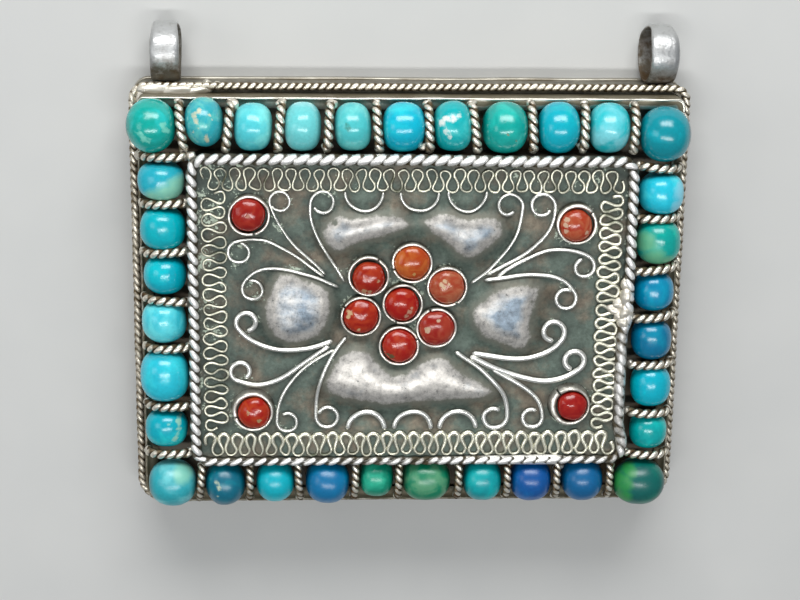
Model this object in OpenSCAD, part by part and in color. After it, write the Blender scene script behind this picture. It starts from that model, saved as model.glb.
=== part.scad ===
// Silver amulet-box pendant, lying on its back. Its face looks up (+Z), the bails point to +Y.
// A shallow closed case carries a trough of turquoise barrel beads around a raised panel with
// embossed silver, scroll wires, a looped wire border and coral stones in thin strip settings.
// The origin is the centre of the case's flat back face.

/* [Case] */
// Width over the rope wire that runs round the case
pendant_w = 54; // [50:0.5:58]
// Height over the same rope wire, without the bails
pendant_h = 42.55; // [40:0.5:46]
// Height of the flat rim above the back face
rim_z = 4.1; // [3.6:0.1:5]
// Thickness of the silver sheet
sheet = 0.5; // [0.4:0.05:0.7]
// Corner radius at the top, on the bail side
corner_top = 1.3; // [1:0.1:2]
// Corner radius at the bottom
corner_bottom = 2.4; // [1.5:0.1:3]
// How far the back plate stands out past the case wall
back_lip = 0.2; // [0.1:0.05:0.4]
// Thickness of the back plate
back_t = 0.7; // [0.5:0.1:1]
// Gap that keeps neighbouring pieces apart
seat_gap = 0.02; // [0.01:0.01:0.05]

/* [Rope wires] */
// Diameter of the rope wire round the case
rope_d = 0.75; // [0.6:0.05:0.9]
// Diameter of the rope wire round the panel
panel_rope_d = 1.07; // [0.9:0.05:1.2]
// Diameter of the short rope wires between the beads
divider_d = 0.8; // [0.6:0.05:0.85]

/* [Trough] */
// Height of the trough's floor above the back face
floor_z = 6.1; // [5.8:0.1:6.3]
// Distance from the rope's outer edge to the bead wall
wall_inset = 1; // [0.9:0.05:1.2]
// Thickness of the bead wall
wall_t = 0.3; // [0.2:0.05:0.4]
// Height of the bead wall's top edge
wall_z = 7.2; // [6.8:0.1:7.4]
// Roundness of the barrel beads
bead_power = 2.5; // [2:0.1:3]

/* [Panel] */
// Half width and half height of the panel, to the middle of its rope wire
panel_half = [20.8, 14.95]; // [14:0.05:21]
// Height of the panel's flat field
panel_z = 9.75; // [9.5:0.05:10]
// Corner radius of the panel
panel_corner = 1.2; // [0.8:0.1:1.6]
// Half width and half height of the field inside the looped border
field_half = [17.6, 11.9]; // [11:0.1:18]
// Thickness of the flat looped and scrolled wires
wire_w = 0.3; // [0.25:0.01:0.35]
// Distance between two loops of the border
loop_pitch = 1.42; // [1.35:0.01:1.5]
// How far each loop swells past its neck
loop_swell = 0.22; // [0.1:0.01:0.23]
// Middle of the coral flower
flower_centre = [-0.95, 1]; // [-1:0.05:1]
// Radius around the flower that stays flat
flower_clear = 6.2; // [5.8:0.1:6.6]

/* [Corals] */
// Outer diameter of the strip settings
setting_d = 3.95; // [3.8:0.05:4]
// Thickness of the setting strip
setting_t = 0.25; // [0.2:0.01:0.3]
// Height of the setting strip
setting_h = 0.9; // [0.7:0.05:1.1]
// Diameter of the coral stones
coral_d = 3.35; // [3.2:0.05:3.4]
// Height of the coral stones
coral_h = 1.5; // [1.2:0.1:1.8]

/* [Bails] */
// Outer diameter of the bail rings
bail_d = 5.9; // [5.5:0.1:6]
// Thickness of the bail strip
bail_t = 0.45; // [0.4:0.05:0.6]
// Width of the bail strip
bail_w = 2.75; // [2.5:0.05:3]
// Height of the ring's middle above the back face
bail_z = 3; // [2.97:0.01:3.1]
// Places of the left and the right bail across the case
bail_x = [-23.6, 24.2]; // [-24.5:0.1:24.5]
// Twist of the left and the right bail out of line, in degrees
bail_twist = [0.5, 2.5]; // [0:0.5:4]

/* [Hidden] */
$fn = 40;

// Turquoise beads: [side, place along the side, shift outward, length, diameter, colour]
SIDE = 0;
PLACE = 1;
SHIFT = 2;
LENGTH = 3;
WIDTH = 4;
TINT = 5;
beads = [
    ["top", -24.55, 0.1, 4.5, 4.9, "#2aa58f"],
    ["top", -19.65, 0.15, 3.55, 4.5, "#3aa0a5"],
    ["top", -15.1, -0.05, 3.55, 4.4, "#28b0c0"],
    ["top", -10.45, 0, 3.4, 4.5, "#5cc4b8"],
    ["top", -5.75, 0, 3.4, 4.4, "#4cbaa8"],
    ["top", -0.95, 0, 4, 4.55, "#28a4c4"],
    ["top", 3.65, 0.1, 3.5, 4.6, "#3cb4a4"],
    ["top", 8.6, 0, 4.2, 4.8, "#1e9890"],
    ["top", 13.7, 0, 3.9, 4.7, "#148aa4"],
    ["top", 18.5, 0, 3.8, 4.6, "#4cb8b4"],
    ["top", 23.8, -0.55, 4.75, 5.1, "#0f8488"],
    ["left", 12.55, 0, 3.5, 4.4, "#3cb8b0"],
    ["left", 7.95, -0.05, 4, 4.3, "#14a2ac"],
    ["left", 3.4, -0.15, 3.6, 4.05, "#1ea8b8"],
    ["left", -1.2, 0, 3.9, 4.3, "#30b4c4"],
    ["left", -6.6, 0.05, 4.8, 4.7, "#24aabc"],
    ["left", -12, 0, 3.6, 4.1, "#2898a0"],
    ["right", 11.4, 0.05, 3.8, 4.35, "#2aa8c8"],
    ["right", 6.7, 0, 4.2, 4.3, "#3ca078"],
    ["right", 1.65, -0.15, 3.7, 3.9, "#1484b0"],
    ["right", -3.15, -0.15, 3.9, 4, "#0f6c98"],
    ["right", -7.9, 0, 4.1, 4, "#189cb4"],
    ["right", -12.65, 0, 3.4, 3.75, "#14989c"],
    ["bottom", -23.25, 0.05, 4.45, 4.6, "#68c0b8"],
    ["bottom", -18.1, 0.1, 3.75, 4.5, "#146c88"],
    ["bottom", -13.2, 0, 3.65, 4.2, "#1c94a8"],
    ["bottom", -8.05, 0.05, 4.2, 4.5, "#0c74a8"],
    ["bottom", -3.2, -0.25, 3.2, 3.9, "#2c9c80"],
    ["bottom", 1.75, -0.1, 4.55, 4.3, "#60a880"],
    ["bottom", 7.3, 0, 3.6, 4.3, "#1c98a8"],
    ["bottom", 12.15, 0, 3.8, 4.4, "#0c5c90"],
    ["bottom", 17.3, 0, 4, 4.4, "#1078a8"],
    ["bottom", 23, 0.25, 4.9, 4.75, "#1e8c5c"]];
// Distance of the two rows and the two columns from the pendant's middle lines
bead_line = [23.75, 17.65];

// Rope wires between beads: [side, place at the wall, place at the panel]
OUTER = 1;
INNER = 2;
dividers = [
    ["top", -22, -21.5],
    ["top", -17.1, -17.6],
    ["top", -12.4, -12.75],
    ["top", -7.85, -8.2],
    ["top", -3.6, -3.25],
    ["top", 1.3, 1.5],
    ["top", 5.5, 6],
    ["top", 11, 11.3],
    ["top", 16.2, 16],
    ["top", 20.9, 20.8],
    ["left", 14.85, 15],
    ["left", 10.3, 10.6],
    ["left", 5.6, 5.9],
    ["left", 1.2, 0.9],
    ["left", -3.8, -3.6],
    ["left", -9.6, -9.5],
    ["left", -14.5, -14.3],
    ["right", 13.9, 14.2],
    ["right", 9.15, 9.1],
    ["right", 4.3, 3.9],
    ["right", -0.5, -0.9],
    ["right", -5.5, -5.6],
    ["right", -10.6, -10.4],
    ["right", -14.9, -14.7],
    ["bottom", -20.7, -20.3],
    ["bottom", -15.7, -15.65],
    ["bottom", -10.7, -10.95],
    ["bottom", -5.4, -5.3],
    ["bottom", -1.1, -1],
    ["bottom", 4.85, 4.9],
    ["bottom", 9.65, 9.75],
    ["bottom", 14.7, 14.6],
    ["bottom", 19.9, 19.85]];
// Their arch over the trough: [fraction of the way from the wall to the panel, height]
divider_arch = [[0, 7.65], [0.16, 8.75], [0.42, 9.5], [0.74, 9.55], [1, 9.2]];

// Coral stones of the flower: [angle, distance from its middle]
flower = [[0, 0], [78, 4.12], [140, 4.25], [197, 4.15], [266, 4.15], [324, 4.05], [22, 4.55]];
// Coral stones in the panel's corners: [x, y]
corner_corals = [[-15.5, 9.6], [15.5, 8.8], [-15.3, -9.75], [15.5, -9.3]];

// Embossed domes: [x, y, half width, half height, rise, squareness]
domes = [
    [-10.9, 0.35, 3.15, 3.2, 1, 2.6],
    [8.9, -0.2, 3.7, 3.1, 1, 2.6],
    [-4.6, 7.9, 4.1, 1.9, 0.9, 2.6],
    [4.2, 7.8, 4.7, 1.95, 0.9, 2.4],
    [-0.9, -6.5, 7.2, 2.75, 1.1, 2.1]];

// Scroll wires: [root x, root y, root direction, curl x, curl y, curl radius, entry angle, turn]
ROOT = 0;
HEADING = 2;
CURL = 3;
CURL_R = 5;
ENTRY = 6;
TURN = 7;
scrolls = [
    [-8.3, 3.85, 136, -12.55, 10.75, 0.95, 195, -290],
    [-6.45, 3.1, 120, -8.5, 10.75, 0.95, 175, -290],
    [-8.45, 3.6, 146, -16.4, 5.8, 1, 110, 300],
    [-7.1, 2.65, 158, -15.1, 2.25, 0.95, 145, 300],
    [5.6, 2.85, 38, 9.05, 10.5, 0.95, 0, 290],
    [7.1, 3.75, 28, 12.4, 10.5, 0.95, 0, 290],
    [8.1, 3.6, 36, 16.45, 4.4, 1, 60, -300],
    [6.9, 3.2, 8, 14.85, 1.4, 1, 35, -300],
    [-7.6, -2.8, 200, -15.85, -0.9, 1, 215, -290],
    [-7.9, -3.3, 212, -16.35, -5.75, 0.95, 245, -290],
    [-7.5, -3.6, 210, -12.1, -10.85, 1, 180, 290],
    [-6.25, -2.4, 228, -8.35, -10.35, 1, 180, 290],
    [5.9, -4.1, 350, 13.75, -1.9, 1, 325, 290],
    [5.7, -4.4, 334, 15.75, -4.85, 1, 310, 290],
    [7.9, -5.7, 325, 11.75, -10.7, 1, 0, -290],
    [4.2, -3.9, 326, 8.35, -10.35, 1, 0, -290]];
// Half-circle wires on the long edges: [x, side]
arcs = [[-4.7, 1], [0.55, 1], [5.1, 1], [-4.3, -1], [0.2, -1], [4.6, -1]];
// Radius of those half circles
arc_r = 1.8;

// Half sizes of the outlines that lie inside one another
rope_half = [pendant_w / 2 - rope_d / 2, pendant_h / 2 - rope_d / 2];
case_half = rope_half + [0.1, 0.1];
wall_half = [pendant_w / 2 - wall_inset, pendant_h / 2 - wall_inset];
floor_half = wall_half - [wall_t + seat_gap, wall_t + seat_gap];
box_half = panel_half + [0.2, 0.2];
skirt_z = back_t + seat_gap;
plate_t = 0.4;
rope_z = rim_z + rope_d / 2 + seat_gap;
panel_rope_z = panel_z + panel_rope_d / 2 + seat_gap;
stone_z = panel_z + seat_gap;

bead_names = [for (i = [0:len(beads) - 1]) str("turquoise_", beads[i][SIDE], "_", i + 1)];
coral_names = [for (i = [0:len(flower) + len(corner_corals) - 1]) str("coral_", i + 1)];
coral_places = concat(
    [for (f = flower) flower_centre + f[1] * [cos(f[0]), sin(f[0])]],
    corner_corals);

// Outline of a rectangle with its own corner radius at the top and at the bottom
function corner_arc(c, r, start, steps) =
    [for (i = [0:steps]) c + r * [cos(start + 90 * i / steps), sin(start + 90 * i / steps)]];

function outline(half, top_r, bottom_r, steps = 6) = concat(
    corner_arc([half[0] - top_r, half[1] - top_r], top_r, 0, steps),
    corner_arc([top_r - half[0], half[1] - top_r], top_r, 90, steps),
    corner_arc([bottom_r - half[0], bottom_r - half[1]], bottom_r, 180, steps),
    corner_arc([half[0] - bottom_r, bottom_r - half[1]], bottom_r, 270, steps));

// Outline of the case family, drawn in from the rope's path by a distance
function case_outline(half) = let (d = rope_half[0] - half[0]) outline(
    half, max(0.6, corner_top - d), max(0.9, corner_bottom - d));

function unit(v) = v / norm(v);

// Tangents along a row of points, closed or open
function tangent(p, i, closed) = let (n = len(p)) unit(closed
    ? p[(i + 1) % n] - p[(i + n - 1) % n]
    : p[min(i + 1, n - 1)] - p[max(i - 1, 0)]);

// Outline of a flat wire of width w along a row of points
function stroke(p, w) = concat(
    [for (i = [0:len(p) - 1]) let (t = tangent(p, i, false)) p[i] + w / 2 * [-t[1], t[0]]],
    [for (i = [len(p) - 1:-1:0]) let (t = tangent(p, i, false)) p[i] - w / 2 * [-t[1], t[0]]]);

// Round wire along a row of points: rings of facets around a side direction that fits the path
module round_wire(p, r, side, closed = false, facets = 10) {
    n = len(p);
    rings = [for (i = [0:n - 1])
        let (t = tangent(p, i, closed))
        let (u = unit(side - (side * t) * t))
        let (v = cross(t, u))
        for (k = [0:facets - 1])
            let (a = 360 * k / facets)
            p[i] + r * (cos(a) * u + sin(a) * v)];
    spans = closed ? n : n - 1;
    walls = [for (i = [0:spans - 1], k = [0:facets - 1])
        let (j = (i + 1) % n)
        let (m = (k + 1) % facets)
        [i * facets + k, i * facets + m, j * facets + m, j * facets + k]];
    ends = closed ? [] : [
        [for (k = [facets - 1:-1:0]) k],
        [for (k = [0:facets - 1]) (n - 1) * facets + k]];
    polyhedron(points = rings, faces = concat(walls, ends), convexity = 6);
}

// Point at a place along a side, at a distance from the middle line of that side
function side_point(side, place, distance) =
    side == "top" ? [place, distance] :
    side == "bottom" ? [place, -distance] :
    side == "left" ? [-distance, place] : [distance, place];

function is_row(side) = side == "top" || side == "bottom";

function line_of(side) = is_row(side) ? bead_line[1] : bead_line[0];

// Barrel profile: the radius falls away to both ends by a power law
function barrel_r(x, length, width) =
    width / 2 * pow(1 - pow(abs(2 * x / length), bead_power), 1 / bead_power);

module barrel(length, width) {
    steps = 12;
    stations = [for (i = [0:steps]) -length / 2 * cos(180 * i / steps)];
    rotate_extrude()
        polygon(concat(
            [[0, -length / 2]],
            [for (i = [1:steps - 1]) [barrel_r(stations[i], length, width), stations[i]]],
            [[0, length / 2]]));
}

module bead_shape(b, extra = 0) {
    at = side_point(b[SIDE], b[PLACE], line_of(b[SIDE]) + b[SHIFT]);
    translate([at[0], at[1], floor_z + seat_gap + b[WIDTH] / 2])
        rotate(is_row(b[SIDE]) ? [0, 90, 0] : [90, 0, 0])
            barrel(b[LENGTH] + extra, b[WIDTH] + extra);
}

module turquoise(b) {
    color(b[TINT]) bead_shape(b);
}

// Flat back plate with a narrow lip past the wall
module case_back() {
    color("#a9a69c")
        linear_extrude(back_t)
            polygon(case_outline(case_half + [back_lip, back_lip]));
}

// Side wall, flat rim and the raised floor of the trough, folded from one sheet
module case_front() {
    color("#b4b0a4") difference() {
        union() {
            translate([0, 0, skirt_z])
                linear_extrude(rim_z - skirt_z) polygon(case_outline(case_half));
            translate([0, 0, rim_z - sheet / 2])
                linear_extrude(floor_z - rim_z + sheet / 2) polygon(case_outline(floor_half));
        }
        translate([0, 0, skirt_z - 1])
            linear_extrude(rim_z - sheet - skirt_z + 1)
                polygon(case_outline(case_half - [sheet, sheet]));
        translate([0, 0, skirt_z])
            linear_extrude(floor_z - sheet - skirt_z)
                polygon(case_outline(floor_half - [sheet, sheet]));
    }
}

module outer_rope() {
    path = [for (q = case_outline(rope_half)) [q[0], q[1], rope_z]];
    color("#c9c6ba") round_wire(path, rope_d / 2, [0, 0, 1], true, 12);
}

// Thin upright strip round the trough, trimmed where the big corner beads lean over it
module bead_wall() {
    color("#c2bfb2") difference() {
        translate([0, 0, rim_z + seat_gap])
            linear_extrude(wall_z - rim_z - seat_gap) difference() {
                polygon(case_outline(wall_half));
                polygon(case_outline(wall_half - [wall_t, wall_t]));
            }
        for (b = beads)
            if (b[WIDTH] > 4.55 || b[LENGTH] > 4.4) bead_shape(b, 0.08);
    }
}

module panel_box() {
    z0 = floor_z + seat_gap;
    z1 = panel_z - plate_t - seat_gap;
    color("#97938a")
        translate([0, 0, z0])
            linear_extrude(z1 - z0) difference() {
                polygon(outline(box_half, panel_corner, panel_corner));
                polygon(outline(box_half - [sheet, sheet], panel_corner - sheet, panel_corner - sheet));
            }
}

// Distance from a dome's middle to its edge in one direction, short of the flat round the flower
function dome_edge(d, a) =
    let (u = [cos(a), sin(a)])
    let (e = pow(abs(u[0]) / d[2], d[5]) + pow(abs(u[1]) / d[3], d[5]))
    let (c = flower_centre - [d[0], d[1]])
    let (ahead = c * u)
    let (hit = flower_clear * flower_clear - c * c + ahead * ahead)
    min(pow(e, -1 / d[5]), hit > 0 && ahead > 0 ? ahead - sqrt(hit) : 99);

// One embossed dome: rings of facets from its edge to its crown, on a short foot in the plate
module dome(d) {
    spokes = 28;
    rings = 5;
    foot = 0.2;
    edge = [for (k = [0:spokes - 1])
        let (a = 360 * k / spokes)
        dome_edge(d, a) * [cos(a), sin(a)]];
    shell = [for (j = [0:rings - 1], e = edge)
        let (f = 1 - j / rings)
        [d[0] + f * e[0], d[1] + f * e[1], panel_z + 0.02 + d[4] * pow(1 - pow(f, 2.4), 0.8)]];
    base = [for (e = edge) [d[0] + e[0], d[1] + e[1], panel_z - foot]];
    crown = [[d[0], d[1], panel_z + 0.02 + d[4]]];
    bands = [for (j = [0:rings - 1], k = [0:spokes - 1])
        let (m = (k + 1) % spokes)
        [j * spokes + k, (j + 1) * spokes + k, (j + 1) * spokes + m, j * spokes + m]];
    last = rings * spokes;
    cap = [for (k = [0:spokes - 1])
        [last + k, last + spokes, last + (k + 1) % spokes]];
    polyhedron(
        points = concat(base, shell, crown),
        faces = concat([[for (k = [0:spokes - 1]) k]], bands, cap),
        convexity = 4);
}

// Cover plate of the panel with its embossed domes
module panel_plate() {
    color("#6f6d68") union() {
        translate([0, 0, panel_z - plate_t])
            linear_extrude(plate_t) polygon(outline(box_half, panel_corner, panel_corner));
        for (d = domes) dome(d);
    }
}

module panel_rope() {
    path = [for (q = outline(panel_half, panel_corner, panel_corner)) [q[0], q[1], panel_rope_z]];
    color("#d0cdc2") round_wire(path, panel_rope_d / 2, [0, 0, 1], true, 12);
}

// One straight run of the looped border: a wire that swings from side to side in round loops
module loop_run(length, height) {
    loops = round(length / loop_pitch);
    pitch = length / loops;
    swing = (height - wire_w) / 2;
    path = [for (i = [0:8 * loops])
        let (a = 45 * i)
        [pitch * a / 360 - loop_swell * sin(2 * a) - length / 2, swing * sin(a)]];
    linear_extrude(wire_w) polygon(stroke(path, wire_w));
}

module filigree_band() {
    inner = panel_half - [panel_rope_d / 2 + 0.15, panel_rope_d / 2 + 0.15];
    band = inner - field_half;
    across = 2 * inner[0] - 0.2;
    up = 2 * field_half[1] - 0.3;
    color("#c4c1ae") translate([0, 0, stone_z]) {
        for (s = [-1, 1])
            translate([0, s * (inner[1] - band[1] / 2), 0]) loop_run(across, band[1] - 0.1);
        for (s = [-1, 1])
            translate([s * (inner[0] - band[0] / 2), 0, 0])
                rotate([0, 0, 90]) loop_run(up, band[0] - 0.1);
    }
}

// Cubic curve from the root of a scroll to its curl, then a curl that draws in
function curve(a, b, c, d, t) =
    pow(1 - t, 3) * a + 3 * pow(1 - t, 2) * t * b + 3 * (1 - t) * t * t * c + t * t * t * d;

function scroll_path(s) =
    let (root = [s[ROOT], s[ROOT + 1]])
    let (curl = [s[CURL], s[CURL + 1]])
    let (way = s[TURN] > 0 ? 1 : -1)
    let (entry = curl + s[CURL_R] * [cos(s[ENTRY]), sin(s[ENTRY])])
    let (pull = 0.38 * norm(entry - root))
    let (b = root + pull * [cos(s[HEADING]), sin(s[HEADING])])
    let (c = entry - pull * way * [-sin(s[ENTRY]), cos(s[ENTRY])])
    concat(
        [for (i = [0:7]) curve(root, b, c, entry, i / 8)],
        [for (i = [0:9])
            let (a = s[ENTRY] + s[TURN] * i / 9)
            curl + s[CURL_R] * (1 - 0.3 * i / 9) * [cos(a), sin(a)]]);

module scroll_wires() {
    color("#c9c6b6") translate([0, 0, stone_z]) {
        for (s = scrolls)
            linear_extrude(wire_w) polygon(stroke(scroll_path(s), wire_w));
        for (a = arcs)
            linear_extrude(wire_w)
                polygon(stroke(
                    [for (i = [0:8])
                        [a[0], a[1] * (field_half[1] - 0.1)]
                            + arc_r * [cos(180 * i / 8), -a[1] * sin(180 * i / 8)]],
                    wire_w));
    }
}

module coral_settings() {
    color("#cfccc0")
        for (c = coral_places)
            translate([c[0], c[1], stone_z]) difference() {
                cylinder(d = setting_d, h = setting_h);
                translate([0, 0, -1]) cylinder(d = setting_d - 2 * setting_t, h = setting_h + 2);
            }
}

// Low dome on a short straight side
module coral(c) {
    r = coral_d / 2;
    side = 0.4;
    color("#b8301c")
        translate([c[0], c[1], stone_z])
            rotate_extrude()
                polygon(concat(
                    [[0, 0], [r, 0]],
                    [for (i = [0:6]) [r * cos(15 * i), side + (coral_h - side) * sin(15 * i)]]));
}

module bead_dividers() {
    wall_at = wall_half - [0.15, 0.15];
    panel_at = box_half + [divider_d / 2 + 0.1, divider_d / 2 + 0.1];
    color("#c9c4b4")
        for (d = dividers) {
            axis = is_row(d[SIDE]) ? 1 : 0;
            path = [for (a = divider_arch)
                let (out = wall_at[axis] + (panel_at[axis] - wall_at[axis]) * a[0])
                let (q = side_point(d[SIDE], d[OUTER] + (d[INNER] - d[OUTER]) * a[0], out))
                [q[0], q[1], a[1] + divider_d / 2 - 0.4]];
            round_wire(path, divider_d / 2, is_row(d[SIDE]) ? [1, 0, 0] : [0, 1, 0], false, 8);
        }
}

// Ring of flat strip on a short solder foot against the case's top wall
module bail(x, twist) {
    gap = 0.05;
    at = [x, case_half[1] + gap + bail_d / 2, bail_z];
    color("#bdb9ac") translate(at) rotate([0, twist, 0]) difference() {
        union() {
            rotate([0, 90, 0]) cylinder(d = bail_d, h = bail_w, center = true);
            translate([-bail_w / 2 + 0.2, -bail_d / 2 - gap + seat_gap, -0.9])
                cube([bail_w - 0.4, 0.6, 1.8]);
        }
        rotate([0, 90, 0]) cylinder(d = bail_d - 2 * bail_t, h = bail_w + 2, center = true);
    }
}

module bail_left() {
    bail(bail_x[0], -bail_twist[0]);
}

module bail_right() {
    bail(bail_x[1], bail_twist[1]);
}

case_back();
case_front();
outer_rope();
bead_wall();
panel_box();
panel_plate();
panel_rope();
filigree_band();
scroll_wires();
coral_settings();
bead_dividers();
bail_left();
bail_right();
for (i = [0:len(beads) - 1])
    turquoise(beads[i]);
for (i = [0:len(coral_places) - 1])
    coral(coral_places[i]);
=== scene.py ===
from functools import partial

import bmesh
import bpy
import numpy as np
from mathutils import Matrix, Vector


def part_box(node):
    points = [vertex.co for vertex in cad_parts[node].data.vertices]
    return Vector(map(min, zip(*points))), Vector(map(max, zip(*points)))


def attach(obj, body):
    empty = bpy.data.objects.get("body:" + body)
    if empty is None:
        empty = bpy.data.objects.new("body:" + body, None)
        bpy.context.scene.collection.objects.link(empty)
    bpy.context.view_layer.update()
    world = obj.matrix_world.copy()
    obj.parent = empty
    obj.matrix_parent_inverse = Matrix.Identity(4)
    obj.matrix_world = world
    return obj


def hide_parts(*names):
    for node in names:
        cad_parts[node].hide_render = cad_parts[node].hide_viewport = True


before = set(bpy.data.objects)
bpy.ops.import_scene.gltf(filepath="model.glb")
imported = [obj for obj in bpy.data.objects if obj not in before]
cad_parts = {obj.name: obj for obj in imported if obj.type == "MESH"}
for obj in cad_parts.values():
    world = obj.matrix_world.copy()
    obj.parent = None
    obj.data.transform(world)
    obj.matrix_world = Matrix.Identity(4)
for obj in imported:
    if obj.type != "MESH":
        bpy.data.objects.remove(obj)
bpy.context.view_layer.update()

# Camera, table and lights. The pendant lies on its back on a plain pale table and is seen from close above,
# a little from the bail side. A long bar light hangs overhead and another stands low behind the bails, which
# gives each polished bead its two short bars of light.
MM = 0.001


def srgb(code):
    """A hex colour as linear red, green, blue and alpha."""
    part = np.array([int(code[k:k + 2], 16) for k in (1, 3, 5)]) / 255
    linear = np.where(part <= 0.04045, part / 12.92, ((part + 0.055) / 1.055) ** 2.4)
    return (*linear.tolist(), 1.0)


def set_inputs(tree, node, inputs):
    """Sets a node's inputs to values, or links them to the sockets that their values come from."""
    for key, value in inputs.items():
        if isinstance(value, bpy.types.NodeSocket):
            tree.links.new(value, node.inputs[key])
        else:
            node.inputs[key].default_value = value


def add_node(tree, kind, inputs=None, out=None, **settings):
    """Adds a node to a material, with its own settings and its inputs, and gives its output of that name, or
    else the first of its outputs that is in use."""
    made = tree.nodes.new("ShaderNode" + kind)
    for key, value in settings.items():
        setattr(made, key, value)
    set_inputs(tree, made, inputs or {})
    return made.outputs[out] if out else next(socket for socket in made.outputs if socket.enabled)


def new_material(name):
    """An empty material, with a function that adds a node to it and one that sets its shader's inputs."""
    made = bpy.data.materials.new(name)
    made.use_nodes = True
    tree = made.node_tree
    return made, partial(add_node, tree), partial(set_inputs, tree, tree.nodes["Principled BSDF"])


camera_lens = bpy.data.cameras.new("camera")
camera_lens.lens = 81
camera_lens.sensor_width = 36
camera_lens.clip_start = 10 * MM
camera = bpy.data.objects.new("camera", camera_lens)
bpy.context.scene.collection.objects.link(camera)
# The camera's own directions: right, up and backward
camera_axes = Matrix((
    (0.99843, 0.01295, 0.05452),
    (0.00203, 0.96392, -0.26617),
    (-0.05600, 0.26586, 0.96238)))
camera_place = Vector((-10.818, 47.014, 175.545)) * MM
camera.matrix_world = Matrix.Translation(camera_place) @ camera_axes.transposed().to_4x4()
bpy.context.scene.camera = camera
bpy.context.scene.view_settings.view_transform = "Standard"

room = bpy.data.worlds.new("room")
room.use_nodes = True
room.node_tree.nodes["Background"].inputs["Color"].default_value = srgb("#dfe6ee")
room.node_tree.nodes["Background"].inputs["Strength"].default_value = 0.24
bpy.context.scene.world = room

# Lights: [name, place in mm, width and height in mm, power in watts]
lights = [
    ["overhead_bar", (-5, -42, 330), (270, 24), 0.44],
    ["far_bar", (0, 240, 175), (250, 110), 0.7],
    ["side_panel", (-300, 60, 260), (160, 160), 0.14]]
for name, place, (width, height), power in lights:
    lamp_data = bpy.data.lights.new(name, "AREA")
    lamp_data.shape = "RECTANGLE"
    lamp_data.size = width * MM
    lamp_data.size_y = height * MM
    lamp_data.energy = power
    lamp = bpy.data.objects.new(name, lamp_data)
    lamp.location = Vector(place) * MM
    # It faces the pendant, and its width lies level
    away = Vector(place).normalized()
    along = Vector((1, 0, 0)) - away.x * away
    lamp.rotation_euler = Matrix((along, away.cross(along), away)).transposed().to_euler()
    bpy.context.scene.collection.objects.link(lamp)

table_top, add, finish = new_material("pale_matt_table")
grain = add("TexNoise", {"Vector": add("TexCoord", out="Object"), "Scale": 90.0})
pale = add("Mix", {"Factor": grain, "A": srgb("#c9cac8"), "B": srgb("#d3d3d0")}, data_type="RGBA")
finish({"Base Color": pale, "Roughness": 0.85})
# The table reaches 2 m each way, and lies 0.02 mm under the case, so that the two share no face
corners = [(x, y, -0.02 * MM) for x, y in ((-2, -2), (2, -2), (2, 2), (-2, 2))]
table_mesh = bpy.data.meshes.new("table")
table_mesh.from_pydata(corners, [], [(0, 1, 2, 3)])
table_mesh.materials.append(table_top)
table = bpy.data.objects.new("table", table_mesh)
bpy.context.scene.collection.objects.link(table)


# Case. A shallow closed box of silver sheet: a flat back plate with a narrow lip, and a front folded from one
# sheet into the side wall, the flat rim and the raised floor that the beads stand on. It is worn grey and
# brown, with dark dirt where the beads keep fingers out.

# Half the width and half the height inside the rope wire's middle line, and the radii of its corners, in mm
ROPE_LINE = np.array([26.625, 20.9])
TOP_CORNER = 1.3
BOTTOM_CORNER = 2.4
# The side wall and the back plate stand this far outside that line
WALL_PROUD = 0.1
BACK_PROUD = 0.3
# Scale of a pattern that is 1 mm across, because Object coordinates are in metres
PER_MM = 1000


def on_circle(angle):
    """The points of a circle of radius 1 at the angles."""
    return np.stack([np.cos(angle), np.sin(angle)], -1)


def rectangle(half, top_r, bottom_r, per_side, per_corner):
    """Rectangle with rounded corners, anticlockwise from the right: each corner is a quarter circle about its
    own centre, and straight runs of equal steps join one corner's end to the next one's start."""
    radii = np.array([top_r, top_r, bottom_r, bottom_r])
    centres = np.array([[1, 1], [-1, 1], [-1, -1], [1, -1]]) * (np.asarray(half) - radii[:, None])
    angles = np.linspace(0, np.pi / 2, per_corner + 1) + np.arange(4)[:, None] * np.pi / 2
    arcs = centres[:, None] + radii[:, None, None] * on_circle(angles)
    share = np.linspace(0, 1, per_side + 2)[1:-1, None]
    runs = arcs[:, -1:] * (1 - share) + np.roll(arcs[:, :1], -1, 0) * share
    return np.concatenate([arcs, runs], 1).reshape(-1, 2)


def case_line(inset, per_side=80, per_corner=8):
    """Outline of the case, drawn in by the inset from the middle line of the rope wire round it. The corners
    tighten with it, but no further than to radii of 0.6 mm at the top and 0.9 mm at the bottom."""
    top_r, bottom_r = max(0.6, TOP_CORNER - inset), max(0.9, BOTTOM_CORNER - inset)
    return rectangle(ROPE_LINE - inset, top_r, bottom_r, per_side, per_corner)


def raised(line, height):
    """A flat line lifted to one height, or to a height for each point."""
    return np.column_stack([line, np.broadcast_to(height, len(line))])


def wobble(points, size, seed):
    """Smooth unevenness between about -1 and 1: eight sine waves of about that length in mm, each in its own
    seeded direction, added up."""
    draw = np.random.default_rng(seed)
    ways = draw.normal(size=(8, points.shape[-1]))
    ways *= 2 * np.pi / (size * draw.uniform(0.7, 1.5, 8) * np.linalg.norm(ways, axis=1))[:, None]
    return np.sin(points @ ways.T + draw.uniform(0, 2 * np.pi, 8)).sum(-1) / 4


def quads(rows, columns, close_rows=False, close_columns=False):
    """Four-cornered faces between neighbours on a grid of points numbered row by row."""
    row, column = np.meshgrid(
        np.arange(rows - 1 + close_rows), np.arange(columns - 1 + close_columns), indexing="ij")
    beside = (column + 1) % columns
    here, below = row * columns, (row + 1) % rows * columns
    return np.stack([here + column, here + beside, below + beside, below + column], -1).reshape(-1, 4)


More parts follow.
